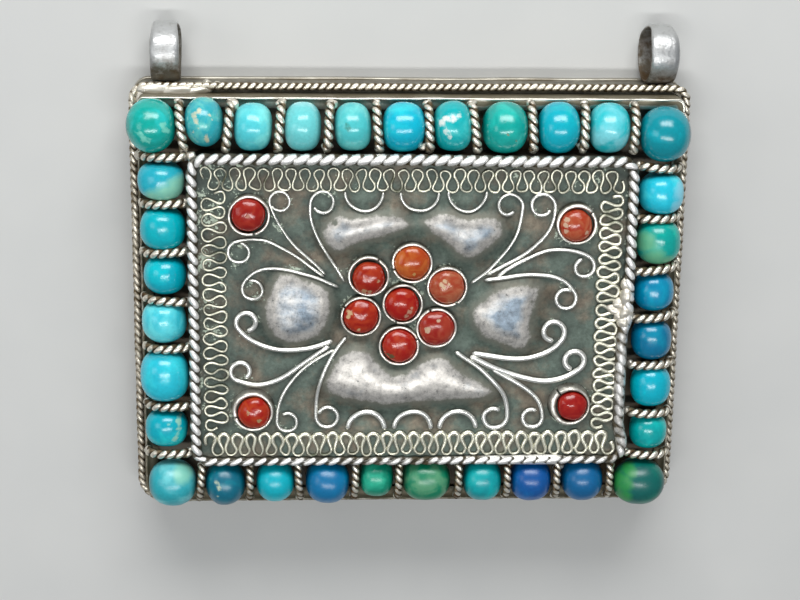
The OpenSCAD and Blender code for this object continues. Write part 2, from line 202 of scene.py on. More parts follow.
def skin(rings, wear):
    """Closed skin through rings of points, with a fan to a middle point at the first and at the last ring.
    Wear says how much the metal is rubbed, 0 to 1, ring by ring or point by point."""
    count, around = rings.shape[:2]
    ring = np.arange(around)
    ahead = np.roll(ring, -1)
    last = (count - 1) * around
    fans = np.concatenate([
        np.stack([ahead, ring, np.full(around, count * around)], 1),
        np.stack([last + ring, last + ahead, np.full(around, count * around + 1)], 1)])
    points = np.concatenate([rings.reshape(-1, 3), [rings[0].mean(0), rings[-1].mean(0)]])
    shown = np.broadcast_to(np.asarray(wear, float).reshape(count, -1), (count, around))
    shown = np.append(shown.ravel(), [shown[0, 0], shown[-1, 0]])
    return points, [quads(count, around, False, True), fans], shown


def closed_band(rings, wear):
    """Skin through rings of points that also joins the last ring to the first."""
    return rings.reshape(-1, 3), [quads(*rings.shape[:2], True, True)], np.ravel(wear)


def joined(shapes):
    """Several shapes, each of points, lists of faces and wear, as one."""
    points, faces, wear = zip(*shapes)
    starts = np.cumsum([0] + [len(part) for part in points])
    return (
        np.concatenate(points),
        [group + start for groups, start in zip(faces, starts) for group in groups],
        np.concatenate(wear))


def add_piece(name, shape, material, slot, *nodes, **attributes):
    """Makes one object from points in mm and faces, turns its faces outward, and lets it stand for CAD
    nodes."""
    points, faces, wear = shape
    mesh = bpy.data.meshes.new(name)
    mesh.from_pydata((points * MM).tolist(), [], [face for group in faces for face in group.tolist()])
    work = bmesh.new()
    work.from_mesh(mesh)
    bmesh.ops.recalc_face_normals(work, faces=work.faces)
    work.to_mesh(mesh)
    work.free()
    mesh.shade_smooth()
    mesh.materials.append(material)
    for key, values in {"wear": wear, **attributes}.items():
        mesh.attributes.new(key, "FLOAT", "POINT").data.foreach_set("value", np.asarray(values, np.float32))
    made = bpy.data.objects.new(name, mesh)
    bpy.context.scene.collection.objects.link(made)
    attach(made, "root")
    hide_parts(*nodes)


def old_silver(name, bright, dark, dirt, rub, rough, blotch=1.6, dent=0.02, metal=(0.45, 0.82)):
    """Hand-worked silver: the wear attribute, broken up by blotches of that size in mm, picks rubbed bright
    metal over dark tarnish between the two rub limits, and brown dirt lies on part of the tarnish. A thick
    tarnish shines less like metal than the bare silver, and small scuffs dent both. Rough is the roughness of
    the silver and of the tarnish, and metal how metallic the tarnish and the silver are."""
    made, add, finish = new_material(name)
    place = add("TexCoord", out="Object")
    wear = add("Attribute", out="Fac", attribute_name="wear")
    blotches = add("TexNoise", {"Vector": place, "Scale": PER_MM / blotch, "Detail": 5.0, "Roughness": 0.62})
    uneven = add("Math", {0: blotches, 1: 1.1, 2: -0.55}, operation="MULTIPLY_ADD")
    rubbed = add("Math", {0: wear, 1: uneven}, operation="ADD")
    rubbed = add("MapRange", {"Value": rubbed, "From Min": rub[0], "From Max": rub[1]})
    dirty = add("TexNoise", {"Vector": place, "Scale": PER_MM / (2.3 * blotch), "Detail": 4.0})
    dirty = add("MapRange", {"Value": dirty, "From Min": 0.42, "From Max": 0.66})
    tarnish = add("Mix", {"Factor": dirty, "A": srgb(dark), "B": srgb(dirt)}, data_type="RGBA")
    scuffs = add("TexNoise", {"Vector": place, "Scale": PER_MM / 0.35, "Detail": 3.0, "Roughness": 0.6})
    finish({
        "Base Color": add("Mix", {"Factor": rubbed, "A": tarnish, "B": srgb(bright)}, data_type="RGBA"),
        "Roughness": add("MapRange", {"Value": rubbed, "To Min": rough[1], "To Max": rough[0]}),
        "Metallic": add("MapRange", {"Value": rubbed, "To Min": metal[0], "To Max": metal[1]}),
        "Normal": add("Bump", {"Height": scuffs, "Strength": 0.5, "Distance": dent * MM})})
    return made


# Profile of the case's front from the middle of its underside, round its lower edge, to the middle of its
# top: [inset from the wall, height, wear]
front_profile = np.array([
    [6.0, 5.60, 0.1], [1.8, 5.60, 0.1], [1.6, 5.50, 0.1], [1.55, 3.70, 0.1], [1.45, 3.60, 0.1],
    [0.6, 3.60, 0.1], [0.5, 3.50, 0.1], [0.5, 0.72, 0.1], [0.02, 0.72, 0.5], [0.0, 0.80, 0.4],
    [0.0, 1.50, 0.4], [0.0, 2.30, 0.4], [0.0, 3.10, 0.35], [0.0, 3.80, 0.3], [0.03, 4.00, 0.4],
    [0.1, 4.08, 0.5], [0.22, 4.10, 0.45], [0.5, 4.10, 0.5], [0.8, 4.10, 0.5], [1.0, 4.10, 0.3],
    [1.05, 4.20, 0.0], [1.05, 5.10, -0.1], [1.05, 5.95, -0.1], [1.1, 6.08, -0.1], [1.25, 6.10, -0.2],
    [1.8, 6.10, -0.3], [2.5, 6.10, -0.4], [3.2, 6.10, -0.4], [3.9, 6.10, -0.4], [4.7, 6.10, -0.4],
    [6.0, 6.10, -0.4]])
rings = np.stack([raised(case_line(inset - WALL_PROUD), height) for inset, height, _ in front_profile])
# The wall is uneven by about 0.04 mm, and the rim and the floor by 0.03 mm
rings[..., :2] *= 1 + 0.0016 * wobble(rings, 8, 1)[..., None]
rings[..., 2] += 0.03 * wobble(rings, 5, 2) * (rings[..., 2] > 3.9)
aged_sheet = old_silver("aged_silver_sheet", "#b4af9f", "#534e44", "#43341f", (0.05, 1.0), (0.36, 0.52))
add_piece("case_shell", skin(rings, front_profile[:, 2]), aged_sheet, "case_silver", "case_front")

# Profile of the back plate, from the middle of its underside to the middle of its top, in the same columns
back_profile = np.array([
    [1.0, 0.0, 0.5], [0.15, 0.0, 0.6], [0.04, 0.04, 0.9], [0.0, 0.12, 0.9], [0.0, 0.35, 0.6],
    [0.0, 0.58, 0.8], [0.05, 0.67, 0.8], [0.14, 0.7, 0.5], [0.6, 0.7, 0.1], [1.0, 0.7, 0.1]])
rings = np.stack([raised(case_line(inset - BACK_PROUD), height) for inset, height, _ in back_profile])
rings[..., :2] *= 1 + 0.0014 * wobble(rings, 11, 3)[..., None]
scuffed_sheet = old_silver(
    "scuffed_silver_back", "#c8c4b6", "#7d786a", "#6b5b40", (0.35, 0.95), (0.36, 0.5), blotch=3.0)
add_piece("back_plate", skin(rings, back_profile[:, 2]), scuffed_sheet, "case_silver", "case_back")


# Rope wires. Two round silver wires are twisted together and laid along the case's edge, and a thicker pair
# goes round the panel's edge. The solder has run into the twist in places and left it smooth. The tops of the
# turns are rubbed white, the grooves between them stay brown.
WIRE_FACETS = 10
UP = np.array([0, 0, 1])
# Height of each rope's middle, its diameter, and the lay, the length in which its wires go once round, in mm
ROPE_Z, ROPE_THICK, ROPE_LAY = 4.495, 0.78, 1.5
PANEL_ROPE_Z, PANEL_ROPE_THICK, PANEL_ROPE_LAY = 10.305, 1.16, 2.38
# Spacing of the points along each rope's middle line
ROPE_STEP, PANEL_ROPE_STEP = 0.115, 0.16
# Depth of metal that is rubbed off the tops of the turns
RUBBED_OFF = 0.1


def even_steps(path, step):
    """A closed path again at equal steps: its points interpolated along its running length."""
    ring = np.vstack([path, path[:1]])
    run = np.append(0, np.cumsum(np.linalg.norm(np.diff(ring, axis=0), axis=1)))
    at = np.linspace(0, run[-1], int(round(run[-1] / step)), endpoint=False)
    return np.stack([np.interp(at, run, ring[:, k]) for k in range(3)], 1)


def forward(path, closed):
    """Unit direction of travel at each point, from its neighbours on both sides."""
    way = np.roll(path, -1, 0) - np.roll(path, 1, 0) if closed else np.gradient(path, axis=0)
    return way / np.linalg.norm(way, axis=1, keepdims=True)


def tube(path, side, width, height, closed=False, facets=WIRE_FACETS):
    """Wire along a path: at each point an ellipse square to the path, with its height along the side
    direction and its width across it. Wear is full on the side that the side direction points to, and none
    opposite."""
    way = forward(path, closed)
    side = np.broadcast_to(side, path.shape)
    up = side - (side * way).sum(1, keepdims=True) * way
    up /= np.linalg.norm(up, axis=1, keepdims=True)
    across = np.cross(up, way)
    angle = np.linspace(0, 2 * np.pi, facets, endpoint=False)[None, :, None]
    width, height = [
        np.broadcast_to(np.asarray(size, float), len(path))[:, None, None] / 2 for size in (width, height)]
    rings = path[:, None] + np.cos(angle) * height * up[:, None] + np.sin(angle) * width * across[:, None]
    wear = np.broadcast_to(0.5 + 0.5 * np.cos(angle[..., 0]), rings.shape[:2]).ravel()
    faces = [quads(len(path), facets, closed, True)]
    if not closed:
        ends = np.arange(facets)
        faces.append(np.stack([ends[::-1], (len(path) - 1) * facets + ends]))
    return rings.reshape(-1, 3), faces, wear


def round_wire(values, wires=1):
    """A value for each step of a path, repeated for the points round the wire, and for each wire in turn."""
    return np.tile(np.repeat(values, WIRE_FACETS), wires)


def twisted(path, thick, lay, closed=False, melt=0.0, start=0.0):
    """Two wires twisted together: each circles the path at 0.27 of the rope's diameter, once in every lay
    length, on opposite sides. Where it is melted, the wires swell and draw together. The top is rubbed away:
    above that level, a fifth of the height is left. Wear is full only where a wire crosses the top."""
    way = forward(path, closed)
    up = UP - way[:, 2:] * way
    up /= np.linalg.norm(up, axis=1, keepdims=True)
    across = np.cross(up, way)
    step = np.linalg.norm(np.roll(path, -1, 0) - path, axis=1) / lay
    turns = np.append(0, np.cumsum(step[:-1]))
    if closed:
        turns *= round(step.sum()) / step.sum()
    melt = np.broadcast_to(np.asarray(melt, float), len(path))
    off_middle = (0.27 * thick * (1 - 0.45 * melt))[:, None]
    width, height = thick / 2 * (1.16 + 0.5 * melt), thick / 2 * (0.94 + 0.34 * melt)
    level = round_wire(path[:, 2] + thick / 2 - RUBBED_OFF)
    strands = []
    for half in (0, np.pi):
        turn = (start + half + 2 * np.pi * turns)[:, None]
        out = np.cos(turn) * up + np.sin(turn) * across
        points, faces, wear = tube(path + out * off_middle, out, width, height, closed)
        points[:, 2] -= 0.8 * np.maximum(points[:, 2] - level, 0)
        crest = round_wire(np.clip(1.5 * out[:, 2] - 0.15 + 0.7 * melt, 0, 1))
        strands.append((points, faces, wear * crest))
    return joined(strands)


def solder_core(path, drop, width, height, dull, shine, melt):
    """Solder that fills a rope from inside: a closed tube that lies lower than the path by the drop. Its
    wear is the dull value, and rises by the shine on top where the rope is melted."""
    points, faces, wear = tube(path - [0, 0, drop], UP, width, height, True)
    return points, faces, dull + shine * wear * round_wire(melt)


def bump_at(value, start, end, soft):
    """One between start and end, falling smoothly to nothing over the soft distance outside them. A start or
    an end that lies beyond the piece leaves that side open."""
    inside = np.clip((value - start) / soft + 1, 0, 1) * np.clip((end - value) / soft + 1, 0, 1)
    return inside ** 2 * (3 - 2 * inside)


path = even_steps(raised(case_line(0, 60), ROPE_Z), ROPE_STEP)
path += 0.035 * wobble(path, 6, 4)[:, None] * np.array([1, 1, 0.6])
x, y, _ = path.T
# Solder has run far into the rope at the top left, and a little elsewhere, but not along the right edge
run_in = bump_at(x, -40, -19.5, 2.5) * (y > 18) * np.clip(0.55 + 0.6 * wobble(path, 1.6, 14), 0.15, 1)
run_in = np.maximum(run_in, 0.45 * np.clip(wobble(path, 9, 5), 0, 1) * (x < 26))
points, faces, wear = twisted(path, ROPE_THICK, ROPE_LAY, True, run_in)
# The crests are bright along the top edge, and duller on the other three
fresh = round_wire(0.3 + 0.7 * bump_at(y, 17.5, 30, 3), 2)
wires = points, faces, wear * fresh + 0.4 * (1 - fresh)
core = solder_core(path, 0.06, 0.42 + 0.36 * run_in, 0.3 + 0.4 * run_in, 0.35, 0.4, run_in)
rope_silver = old_silver(
    "twisted_silver_wire", "#f4ecda", "#72674f", "#5e4a2c", (0.26, 0.66), (0.38, 0.52), 1.1,
    metal=(0.35, 0.8))
add_piece("outer_rope_wire", joined([wires, core]), rope_silver, "wire_silver", "outer_rope")

# Half the width and half the height inside the middle line of the panel's rope, and the radius of its corners
PANEL_LINE = np.array([20.8, 14.95])
PANEL_CORNER = 1.2
line = rectangle(PANEL_LINE, PANEL_CORNER, PANEL_CORNER, 60, 8)
path = even_steps(raised(line, PANEL_ROPE_Z), PANEL_ROPE_STEP)
x, y, z = path.T  # parts of the path itself, so a change to one of them moves the path
# The rope is melted along most of the top, at the right of the bottom, and on the right, where it also bends
# in and lies lower
on_top = bump_at(x, -12.6, 13, 1.5) * (y > 13)
on_bottom = bump_at(x, 4, 14, 2) * (y < -13)
on_right = bump_at(y, -13, -0.5, 2) * (x > 19)
melted = np.maximum(
    0.6 * (on_top + on_bottom) * np.clip(0.75 + 0.5 * wobble(path, 5, 6), 0, 1), 0.75 * on_right)
x -= 0.45 * bump_at(y, -11, -2.5, 2.5) * (x > 19)
z -= 0.12 * on_right
path += 0.03 * wobble(path, 5, 7)[:, None]
# It is thinner along the bottom and a little thinner on the sides, and its top edge dips towards the right
at_bottom = bump_at(y, -20, -14.6, 0.5)
at_sides = bump_at(np.abs(x), 20.4, 30, 0.5)
thick = PANEL_ROPE_THICK - 0.3 * at_bottom - 0.09 * at_sides
y -= 0.04 * at_bottom + 0.15 * bump_at(x, 12, 30, 14) * (y > 14)
z -= (PANEL_ROPE_THICK - thick) / 2
points, faces, wear = twisted(path, thick, PANEL_ROPE_LAY - 0.26 * at_sides, True, melted, 0.6)
# The stretches that solder has made smooth and dull
fused = (bump_at(x, -7, 2, 2) + 0.6 * bump_at(x, 15, 25, 1.5)) * (y < -13)
fused += bump_at(y, -16, -2, 1.5) * (x > 19)
fused += 0.6 * bump_at(x, 19.4, 30, 1.2) * bump_at(y, 11.5, 30, 2.5)
dulled = np.clip(round_wire(fused, 2), 0, 1)
wires = points, faces, wear * (1 - 0.7 * dulled) + 0.09 * dulled
core = solder_core(
    path, 0.1, 0.6 + 0.75 * melted, 0.4 + 0.42 * melted, 0.2, 0.5, melted * np.clip(1 - fused, 0, 1))
panel_silver = old_silver(
    "polished_rope_wire", "#fffefa", "#5c594f", "#524833", (0.14, 0.46), (0.4, 0.52), 1.3, metal=(0.4, 0.62))
add_piece("panel_rope_wire", joined([wires, core]), panel_silver, "wire_silver", "panel_rope")


# Turquoise beads. Thirty-three barrel beads of mixed turquoise lie in the trough, each drilled lengthwise and
# polished by tumbling, so the surface is waxy with soft dents. They run from pale aqua to deep blue and
# green, some with cream host rock, pits or cracks.

# Stones: [node, roundness, body, cloud, share of cloud, size of cloud in mm, mark colour, marks]
# Marks are [x, y, radius] in mm from the bead's middle, seen from above.
stones = [
    ["top_1", 2.1, "#00a99c", "#2bc7c4", 0.4, 2.6, "#7cd8c4",
     [[-0.9, -0.3, 0.3], [-0.5, -0.8, 0.34], [0.0, -1.1, 0.3], [1.2, 0.4, 0.34], [1.5, -0.1, 0.3]]],
    ["top_2", 2.1, "#30afbb", "#66ccc4", 0.5, 1.4, "#d8d4b0",
     [[-0.9, 0.8, 0.34], [-0.6, 0.4, 0.26], [-0.3, 1.3, 0.26], [0.1, 1.1, 0.2], [0.2, -1.0, 0.24],
      [0.4, -1.4, 0.26], [-0.4, -0.2, 0.14], [0.9, 0.6, 0.12], [0.6, 0.9, 0.12], [-0.9, -0.6, 0.12]]],
    ["top_3", 2.45, "#53cfd8", "#82edea", 0.45, 3.2, "#c8eef0", []],
    ["top_4", 2.45, "#6fd4d6", "#9feef1", 0.55, 3.0, "#c8f0ea", []],
    ["top_5", 2.45, "#50c7ca", "#72dbd8", 0.5, 2.2, "#2a8a7c", [[-0.5, 0.3, 0.3], [-0.7, 0.7, 0.2]]],
    ["top_6", 2.45, "#00b6d1", "#25d6e1", 0.45, 3.2, "#b8ecf4", []],
    ["top_7", 2.45, "#00b2b6", "#40caca", 0.4, 2.2, "#f0f4ec",
     [[-1.1, 0.6, 0.4], [-0.7, 1.0, 0.42], [-0.1, 1.1, 0.38], [0.4, 1.4, 0.34], [-0.9, -0.1, 0.3],
      [-0.4, -0.6, 0.24]]],
    ["top_8", 2.25, "#00a49a", "#27c2b5", 0.45, 2.6, "#8a7c50", [[0.0, -0.35, 0.16], [0.9, -0.9, 0.16]]],
    ["top_9", 2.3, "#00b0c3", "#00cfcf", 0.4, 3.0, "#80dce4", []],
    ["top_10", 2.3, "#1bc2cb", "#7fdde6", 0.55, 3.0, "#c8f2f4", []],
    ["top_11", 2.1, "#00919f", "#00adbd", 0.4, 3.0, "#58c4c8", []],
    ["left_12", 2.45, "#22aec2", "#2cbac4", 0.4, 2.6, "#98dcbc",
     [[-0.5, -1.8, 1.5], [0.7, -1.2, 1.5], [1.8, -0.5, 1.5]]],
    ["left_13", 2.45, "#00b3c1", "#00cbd1", 0.45, 3.0, "#70d4d8", []],
    ["left_14", 2.45, "#00adc0", "#00c6d2", 0.4, 3.0, "#70d4d8", []],
    ["left_15", 2.45, "#3cc7d8", "#6be3ea", 0.5, 3.0, "#b8ecf0", []],
    ["left_16", 2.6, "#25c2d7", "#3cd8e5", 0.45, 3.6, "#90e0e8", []],
    ["left_17", 2.45, "#00acbe", "#26d0d2", 0.5, 2.4, "#9cd6c0",
     [[1.25, 1.1, 0.3], [1.3, 0.7, 0.26], [1.25, 0.3, 0.26], [1.15, -0.1, 0.26], [1.0, -0.45, 0.26],
      [0.75, -0.75, 0.24], [0.3, 0.9, 0.2]]],
    ["right_18", 2.45, "#23c5dd", "#45ddeb", 0.5, 2.8, "#8ed8ec",
     [[1.9, 0.4, 1.2], [1.5, -1.0, 0.9]]],
    ["right_19", 2.45, "#00a49a", "#00b3a2", 0.5, 1.8, "#6cb88a",
     [[-1.5, 0.2, 1.2], [-0.6, -1.4, 1.3], [0.6, -2.0, 1.1]]],
    ["right_20", 2.45, "#0085af", "#00a0c1", 0.4, 3.0, "#50b8d0", []],
    ["right_21", 2.45, "#00739b", "#008aab", 0.4, 3.0, "#48a8c0", []],
    ["right_22", 2.45, "#00b1c7", "#00c9d9", 0.45, 3.0, "#70d4dc", []],
    ["right_23", 2.45, "#00a0a1", "#0abfbb", 0.5, 2.6, "#68c0bc", []],
    ["bottom_24", 2.2, "#2aa8b4", "#6cced4", 0.55, 3.4, "#8ad4bc", [[1.1, 1.45, 1.15]]],
    ["bottom_25", 2.2, "#006981", "#008395", 0.45, 2.4, "#c2ceb0",
     [[-0.85, 0.7, 0.24], [-0.6, 0.2, 0.26], [-0.7, -0.7, 0.2]]],
    ["bottom_26", 2.2, "#00b2c3", "#00cbd7", 0.45, 3.0, "#70d0d8", []],
    ["bottom_27", 2.2, "#0071a4", "#0088b5", 0.4, 3.0, "#4098c8", []],
    ["bottom_28", 2.45, "#008e71", "#29b492", 0.5, 1.8, "#8cc4a4", []],
    ["bottom_29", 2.45, "#01825d", "#569b73", 0.55, 1.8, "#a8c8a8", []],
    ["bottom_30", 2.45, "#00989f", "#00b1b3", 0.45, 3.0, "#60c4c8", []],
    ["bottom_31", 2.45, "#00539b", "#0067ae", 0.4, 3.0, "#3878b8", []],
    ["bottom_32", 2.2, "#006196", "#0078ae", 0.4, 3.0, "#3888b8", []],
    ["bottom_33", 2.15, "#00605a", "#007465", 0.5, 2.8, "#2c9444",
     [[-2.0, 0.4, 1.3], [-1.6, -1.1, 0.9], [-1.2, 1.6, 0.8]]]]
# Stones whose two colours run into each other without a ragged edge, and those of the blue and green finishes
two_coloured = {"left_12", "right_18", "right_19", "bottom_24", "bottom_33"}
blue_stones = {"top_6", "top_9", "right_20", "right_21", "bottom_25", "bottom_27", "bottom_31", "bottom_32"}
green_stones = {"top_1", "top_8", "top_11", "right_19", "bottom_28", "bottom_29", "bottom_33"}
bead_names = [stone[0] for stone in stones]
bead_roundness = np.array([stone[1] for stone in stones])
in_top_row = np.array([name.startswith("top") for name in bead_names])
lies_across = np.array([name.startswith(("top", "bottom")) for name in bead_names])
bead_boxes = np.array([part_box("turquoise_" + name) for name in bead_names]) / MM
bead_middles = bead_boxes.mean(1)
# The top row stands a little further out, and its second bead leans against the strip
bead_middles[in_top_row, 1] += 0.06
bead_middles[bead_names.index("top_2"), 1] += 0.29
bead_sizes = bead_boxes[:, 1] - bead_boxes[:, 0]
bead_lengths = np.where(lies_across, bead_sizes[:, 0], bead_sizes[:, 1])
bead_widths = bead_sizes[:, 2] * np.where(in_top_row, 1.03, 1)
BEAD_ROWS = 29
BEAD_FACETS = 56
# The hole at each end of a bead, from its bottom to its mouth: [depth, radius]
BEAD_HOLE = np.array([[0.5, 0.36], [0.06, 0.4]])
# Settings of a mix node that darkens or lightens a colour by a pattern
MULTIPLY = {"data_type": "RGBA", "blend_type": "MULTIPLY"}


def barrel_radius(along, length, width, power):
    """Radius of a barrel bead at a place along it: half the width times (1 - |2 place / length| ^ power) ^
    (1 / power). Two makes it a ball, and more makes it squarer."""
    share = np.clip(np.abs(2 * along / length), 0, 1)
    return width / 2 * (1 - share ** power) ** (1 / power)


def bead_shape(middle, length, width, power, across, seed):
    """A drilled barrel: the barrel radius carried round the bead's axis, with a straight hole at each end,
    then pushed in and out a little by smooth unevenness and turned by up to 3 degrees. Its wear falls off at
    the ends, and the stone darkens with it there: partly dirt where fingers don't reach, partly painted
    shade under the dividers."""
    # The rows lie closer towards the ends, and stop short of them where the holes open
    outer = -0.5 * length * np.cos(np.linspace(0.2, np.pi - 0.2, BEAD_ROWS))
    along = np.concatenate([outer[0] + BEAD_HOLE[:, 0], outer, outer[-1] - BEAD_HOLE[::-1, 0]])[:, None]
    radius = np.concatenate([
        BEAD_HOLE[:, 1], barrel_radius(outer, length, width, power), BEAD_HOLE[::-1, 1]])[:, None]
    around = np.linspace(0, 2 * np.pi, BEAD_FACETS, endpoint=False)
    local = np.stack([np.repeat(along, BEAD_FACETS, 1), radius * np.cos(around), radius * np.sin(around)], -1)
    local *= 1 + (0.017 * wobble(local, 2.9, seed) + 0.003 * wobble(local, 0.9, seed + 50))[..., None]
    tilt = np.radians(np.random.default_rng(seed).uniform(-3, 3))
    x, y, z = np.moveaxis(local, -1, 0)
    turned = np.stack([x * np.cos(tilt) - y * np.sin(tilt), x * np.sin(tilt) + y * np.cos(tilt), z], -1)
    if not across:
        turned = turned[..., [1, 0, 2]] * [-1, 1, 1]
    return skin(turned + middle, np.clip(4.2 * (1 - np.abs(2 * along / length)), 0, 1))


def near_marks(points, middle, marks, seed):
    """How close each point is to a stone's marks: 1 up to 0.55 of a mark's radius, and falling to 0 at 1.55
    of it, with an edge ragged by about a tenth of a mm. Only the upper half counts."""
    if not marks:
        return np.zeros(len(points))
    marks = np.array(marks)
    offset = points - middle
    gap = np.linalg.norm(offset[:, None, :2] - marks[None, :, :2], axis=2) / marks[:, 2]
    close = np.clip(1.55 - gap.min(1) + 0.09 / marks[:, 2].mean() * wobble(points, 0.7, seed), 0, 1)
    return close * (offset[:, 2] > 0)


def turquoise(name, body, cloud, share, size, mark, ragged_by, polish):
    """Polished turquoise, a waxy stone of refractive index 1.61: two close colours in soft clouds, a fine
    grain that breaks both up, and the mark colour where the mark attribute is high, its edge more or less
    ragged, which is duller and a little sunk. Where the wear attribute is low, at the bead's ends, the
    colour darkens to 0.4: partly dirt, partly painted shade under the dividers. The polish is the roughness
    of the unmarked stone."""
    made, add, finish = new_material(name)
    place = add("TexCoord", out="Object")
    clouds = add("TexNoise", {"Vector": place, "Scale": PER_MM / size, "Detail": 3.0, "Distortion": 0.6})
    clouds = add(
        "MapRange", {"Value": clouds, "From Min": 0.62 - 0.36 * share, "From Max": 0.86 - 0.36 * share},
        interpolation_type="SMOOTHSTEP")
    tint = add("Mix", {"Factor": clouds, "A": srgb(body), "B": srgb(cloud)}, data_type="RGBA")
    grain = add("TexNoise", {"Vector": place, "Scale": PER_MM / 0.3, "Detail": 4.0, "Roughness": 0.7})
    shade = add("MapRange", {"Value": grain, "From Min": 0.3, "From Max": 0.7, "To Min": 0.9, "To Max": 1.08})
    # Dirt and painted shade: the bead's ends, under the dividers, darken to 0.4 of the colour
    clean_and_unshaded = add("Attribute", out="Fac", attribute_name="wear")
    clean_and_unshaded = add("MapRange", {"Value": clean_and_unshaded, "To Min": 0.4})
    for layer in (shade, clean_and_unshaded):
        tint = add("Mix", {"Factor": 1.0, "A": tint, "B": layer}, **MULTIPLY)
    ragged = add("TexNoise", {"Vector": place, "Scale": PER_MM / 0.75, "Detail": 7.0, "Roughness": 0.7})
    ragged = add("Math", {0: ragged, 1: ragged_by, 2: -ragged_by / 2}, operation="MULTIPLY_ADD")
    marked = add("Attribute", out="Fac", attribute_name="mark")
    marked = add("Math", {0: marked, 1: ragged}, operation="ADD")
    marked = add("MapRange", {"Value": marked, "From Min": 0.5, "From Max": 1.05, "To Max": 0.9})
    sunk = add("Math", {0: marked, 1: -0.6, 2: grain}, operation="MULTIPLY_ADD")
    finish({
        "Base Color": add("Mix", {"Factor": marked, "A": tint, "B": srgb(mark)}, data_type="RGBA"),
        "Roughness": add("MapRange", {"Value": marked, "To Min": polish, "To Max": 0.42}),
        "Normal": add("Bump", {"Height": sunk, "Strength": 0.35, "Distance": 0.03 * MM}),
        "IOR": 1.61})
    return made


for k, (name, power, body, cloud, share, size, mark, marks) in enumerate(stones):
    shape = bead_shape(
        bead_middles[k], 1.05 * bead_lengths[k], bead_widths[k], power, lies_across[k], 100 + k)
    ragged_by = 0.3 if name in two_coloured else 2.2
    polish = 0.3 if name.startswith("bottom") else 0.2
    stone = turquoise("turquoise_" + name, body, cloud, share, size, mark, ragged_by, polish)
    colour = "blue" if name in blue_stones else "green" if name in green_stones else "aqua"
    add_piece(
        "bead_" + name, shape, stone, "turquoise_" + colour, "turquoise_" + name,
        mark=near_marks(shape[0], bead_middles[k], marks, 200 + k))


# Bead wall. A thin strip of silver stands on the rim round the beads. Its top edge is rubbed bright and wavy,
# and at the bails' right end it is pushed in over the beads, so it follows them in shallow scallops. It gives
# way where the big corner beads lean over it.
WALL_INSET = 0.625
WALL_THICK = 0.3
WALL_FOOT = 4.12
WALL_TOP = 7.18


def bead_gap(points):
    """Distance in mm from each point to the nearest bead: the distance to the bead's axis less its barrel
    radius there, or the distance past its end."""
    offset = points[..., None, :] - bead_middles
    along = np.where(lies_across, offset[..., 0], offset[..., 1])
    beside = np.where(lies_across, offset[..., 1], offset[..., 0])
    gap = np.hypot(beside, offset[..., 2]) - barrel_radius(along, bead_lengths, bead_widths, bead_roundness)
    past = np.abs(along) - bead_lengths / 2
    return np.where(past > 0, np.hypot(np.maximum(gap, 0), past), gap).min(-1)


outer = case_line(WALL_INSET, 190, 10)
inward = case_line(WALL_INSET + WALL_THICK, 190, 10) - outer
inward /= np.linalg.norm(inward, axis=1, keepdims=True)
# The top edge stays below the lowest height at which a bead comes within 0.2 mm of the strip. Where none
# does, 9 mm stands for no limit.
heights = np.linspace(5.2, 7.4, 23)
trial = np.stack([raised(outer + WALL_THICK / 2 * inward, height) for height in heights])
blocked = bead_gap(trial) < 0.2
lowest = np.where(blocked.any(0), heights[blocked.argmax(0)], 9)
tops = np.minimum(WALL_TOP + 0.1 * wobble(outer, 4, 8), lowest - 0.05)
# A ledge reaches inward until it is within 0.1 mm of a bead, and lies higher where the strip is pushed in.
# Its reach is evened out over five points.
pushed = 0.5 * bump_at(outer[:, 0], 6, 30, 3) * bump_at(outer[:, 1], 14, 30, 3)
ledge = np.minimum(tops - 0.12, 6.25 + 0.75 * (0.5 + pushed))
reaches = np.linspace(0.06, 0.96, 19)
trial = np.stack([raised(outer + (WALL_THICK + reach) * inward, ledge) for reach in reaches])
blocked = bead_gap(trial) < 0.1
reach = np.where(blocked.any(0), reaches[np.maximum(blocked.argmax(0) - 1, 0)], reaches[-1])
reach = np.convolve(np.tile(reach, 3), np.ones(5) / 5, "same")[len(reach):2 * len(reach)] - 0.03
# Section of the strip: [inset, share of the ledge's reach, height as a share of top, of ledge, and added,
# wear, how much more it is rubbed where it is pushed in]
wall_section = [
    [0.0, 0, 0, 0, WALL_FOOT, 0.3, 0], [0.0, 0, 1, 0, -0.9, 0.4, 0], [0.0, 0, 1, 0, -0.15, 0.5, 0],
    [0.05, 0, 1, 0, 0, 1.1, 0], [0.18, 0, 1, 0, 0, 1.1, 0], [0.26, 0, 1, 0, -0.08, 0.8, 0],
    [0.28, 0.05, 0, 1, 0.16, 0.7, -0.8], [0.28, 0.4, 0, 1, 0.06, 0.72, -0.8], [0.28, 1, 0, 1, 0.02, 0.8, 1.8],
    [0.28, 1.03, 0, 1, -0.05, 0.6, 1.8], [0.3, 0.3, 0, 1, -0.1, 0.2, 0], [0.3, 0, 0, 1, -0.2, 0.2, 0],
    [0.3, 0, 0, 0, WALL_FOOT, 0.2, 0]]
brightness = 0.5 + 0.5 * bump_at(outer[:, 1], 17.5, 30, 3)
rings, wear = [], []
for inset, out_share, of_top, of_ledge, added, rubbed, more in wall_section:
    line = outer + (inset + out_share * reach)[:, None] * inward
    rings.append(raised(line, of_top * tops + of_ledge * ledge + added))
    wear.append(rubbed * brightness + more * pushed)
rings = np.stack(rings)
rings[..., :2] += 0.03 * wobble(rings, 4, 9)[..., None]
strip_silver = old_silver(
    "thin_silver_strip", "#e4e0d4", "#7a735f", "#675d47", (0.5, 1.0), (0.34, 0.6), 1.2, metal=(0.25, 0.85))
add_piece("bead_wall_strip", closed_band(rings, wear), strip_silver, "wire_silver", "bead_wall")


# Bead dividers. A short length of twisted wire lies over the trough between each two beads, its ends soldered
# to the strip and to the panel. Some ends are drowned in a lump of solder. Those along the bottom are thinner
# and duller.
WALL_LINE = np.array([25.85, 20.125])
BOX_LINE = np.array([21.5, 15.65])
DIVIDER_STEPS = 46
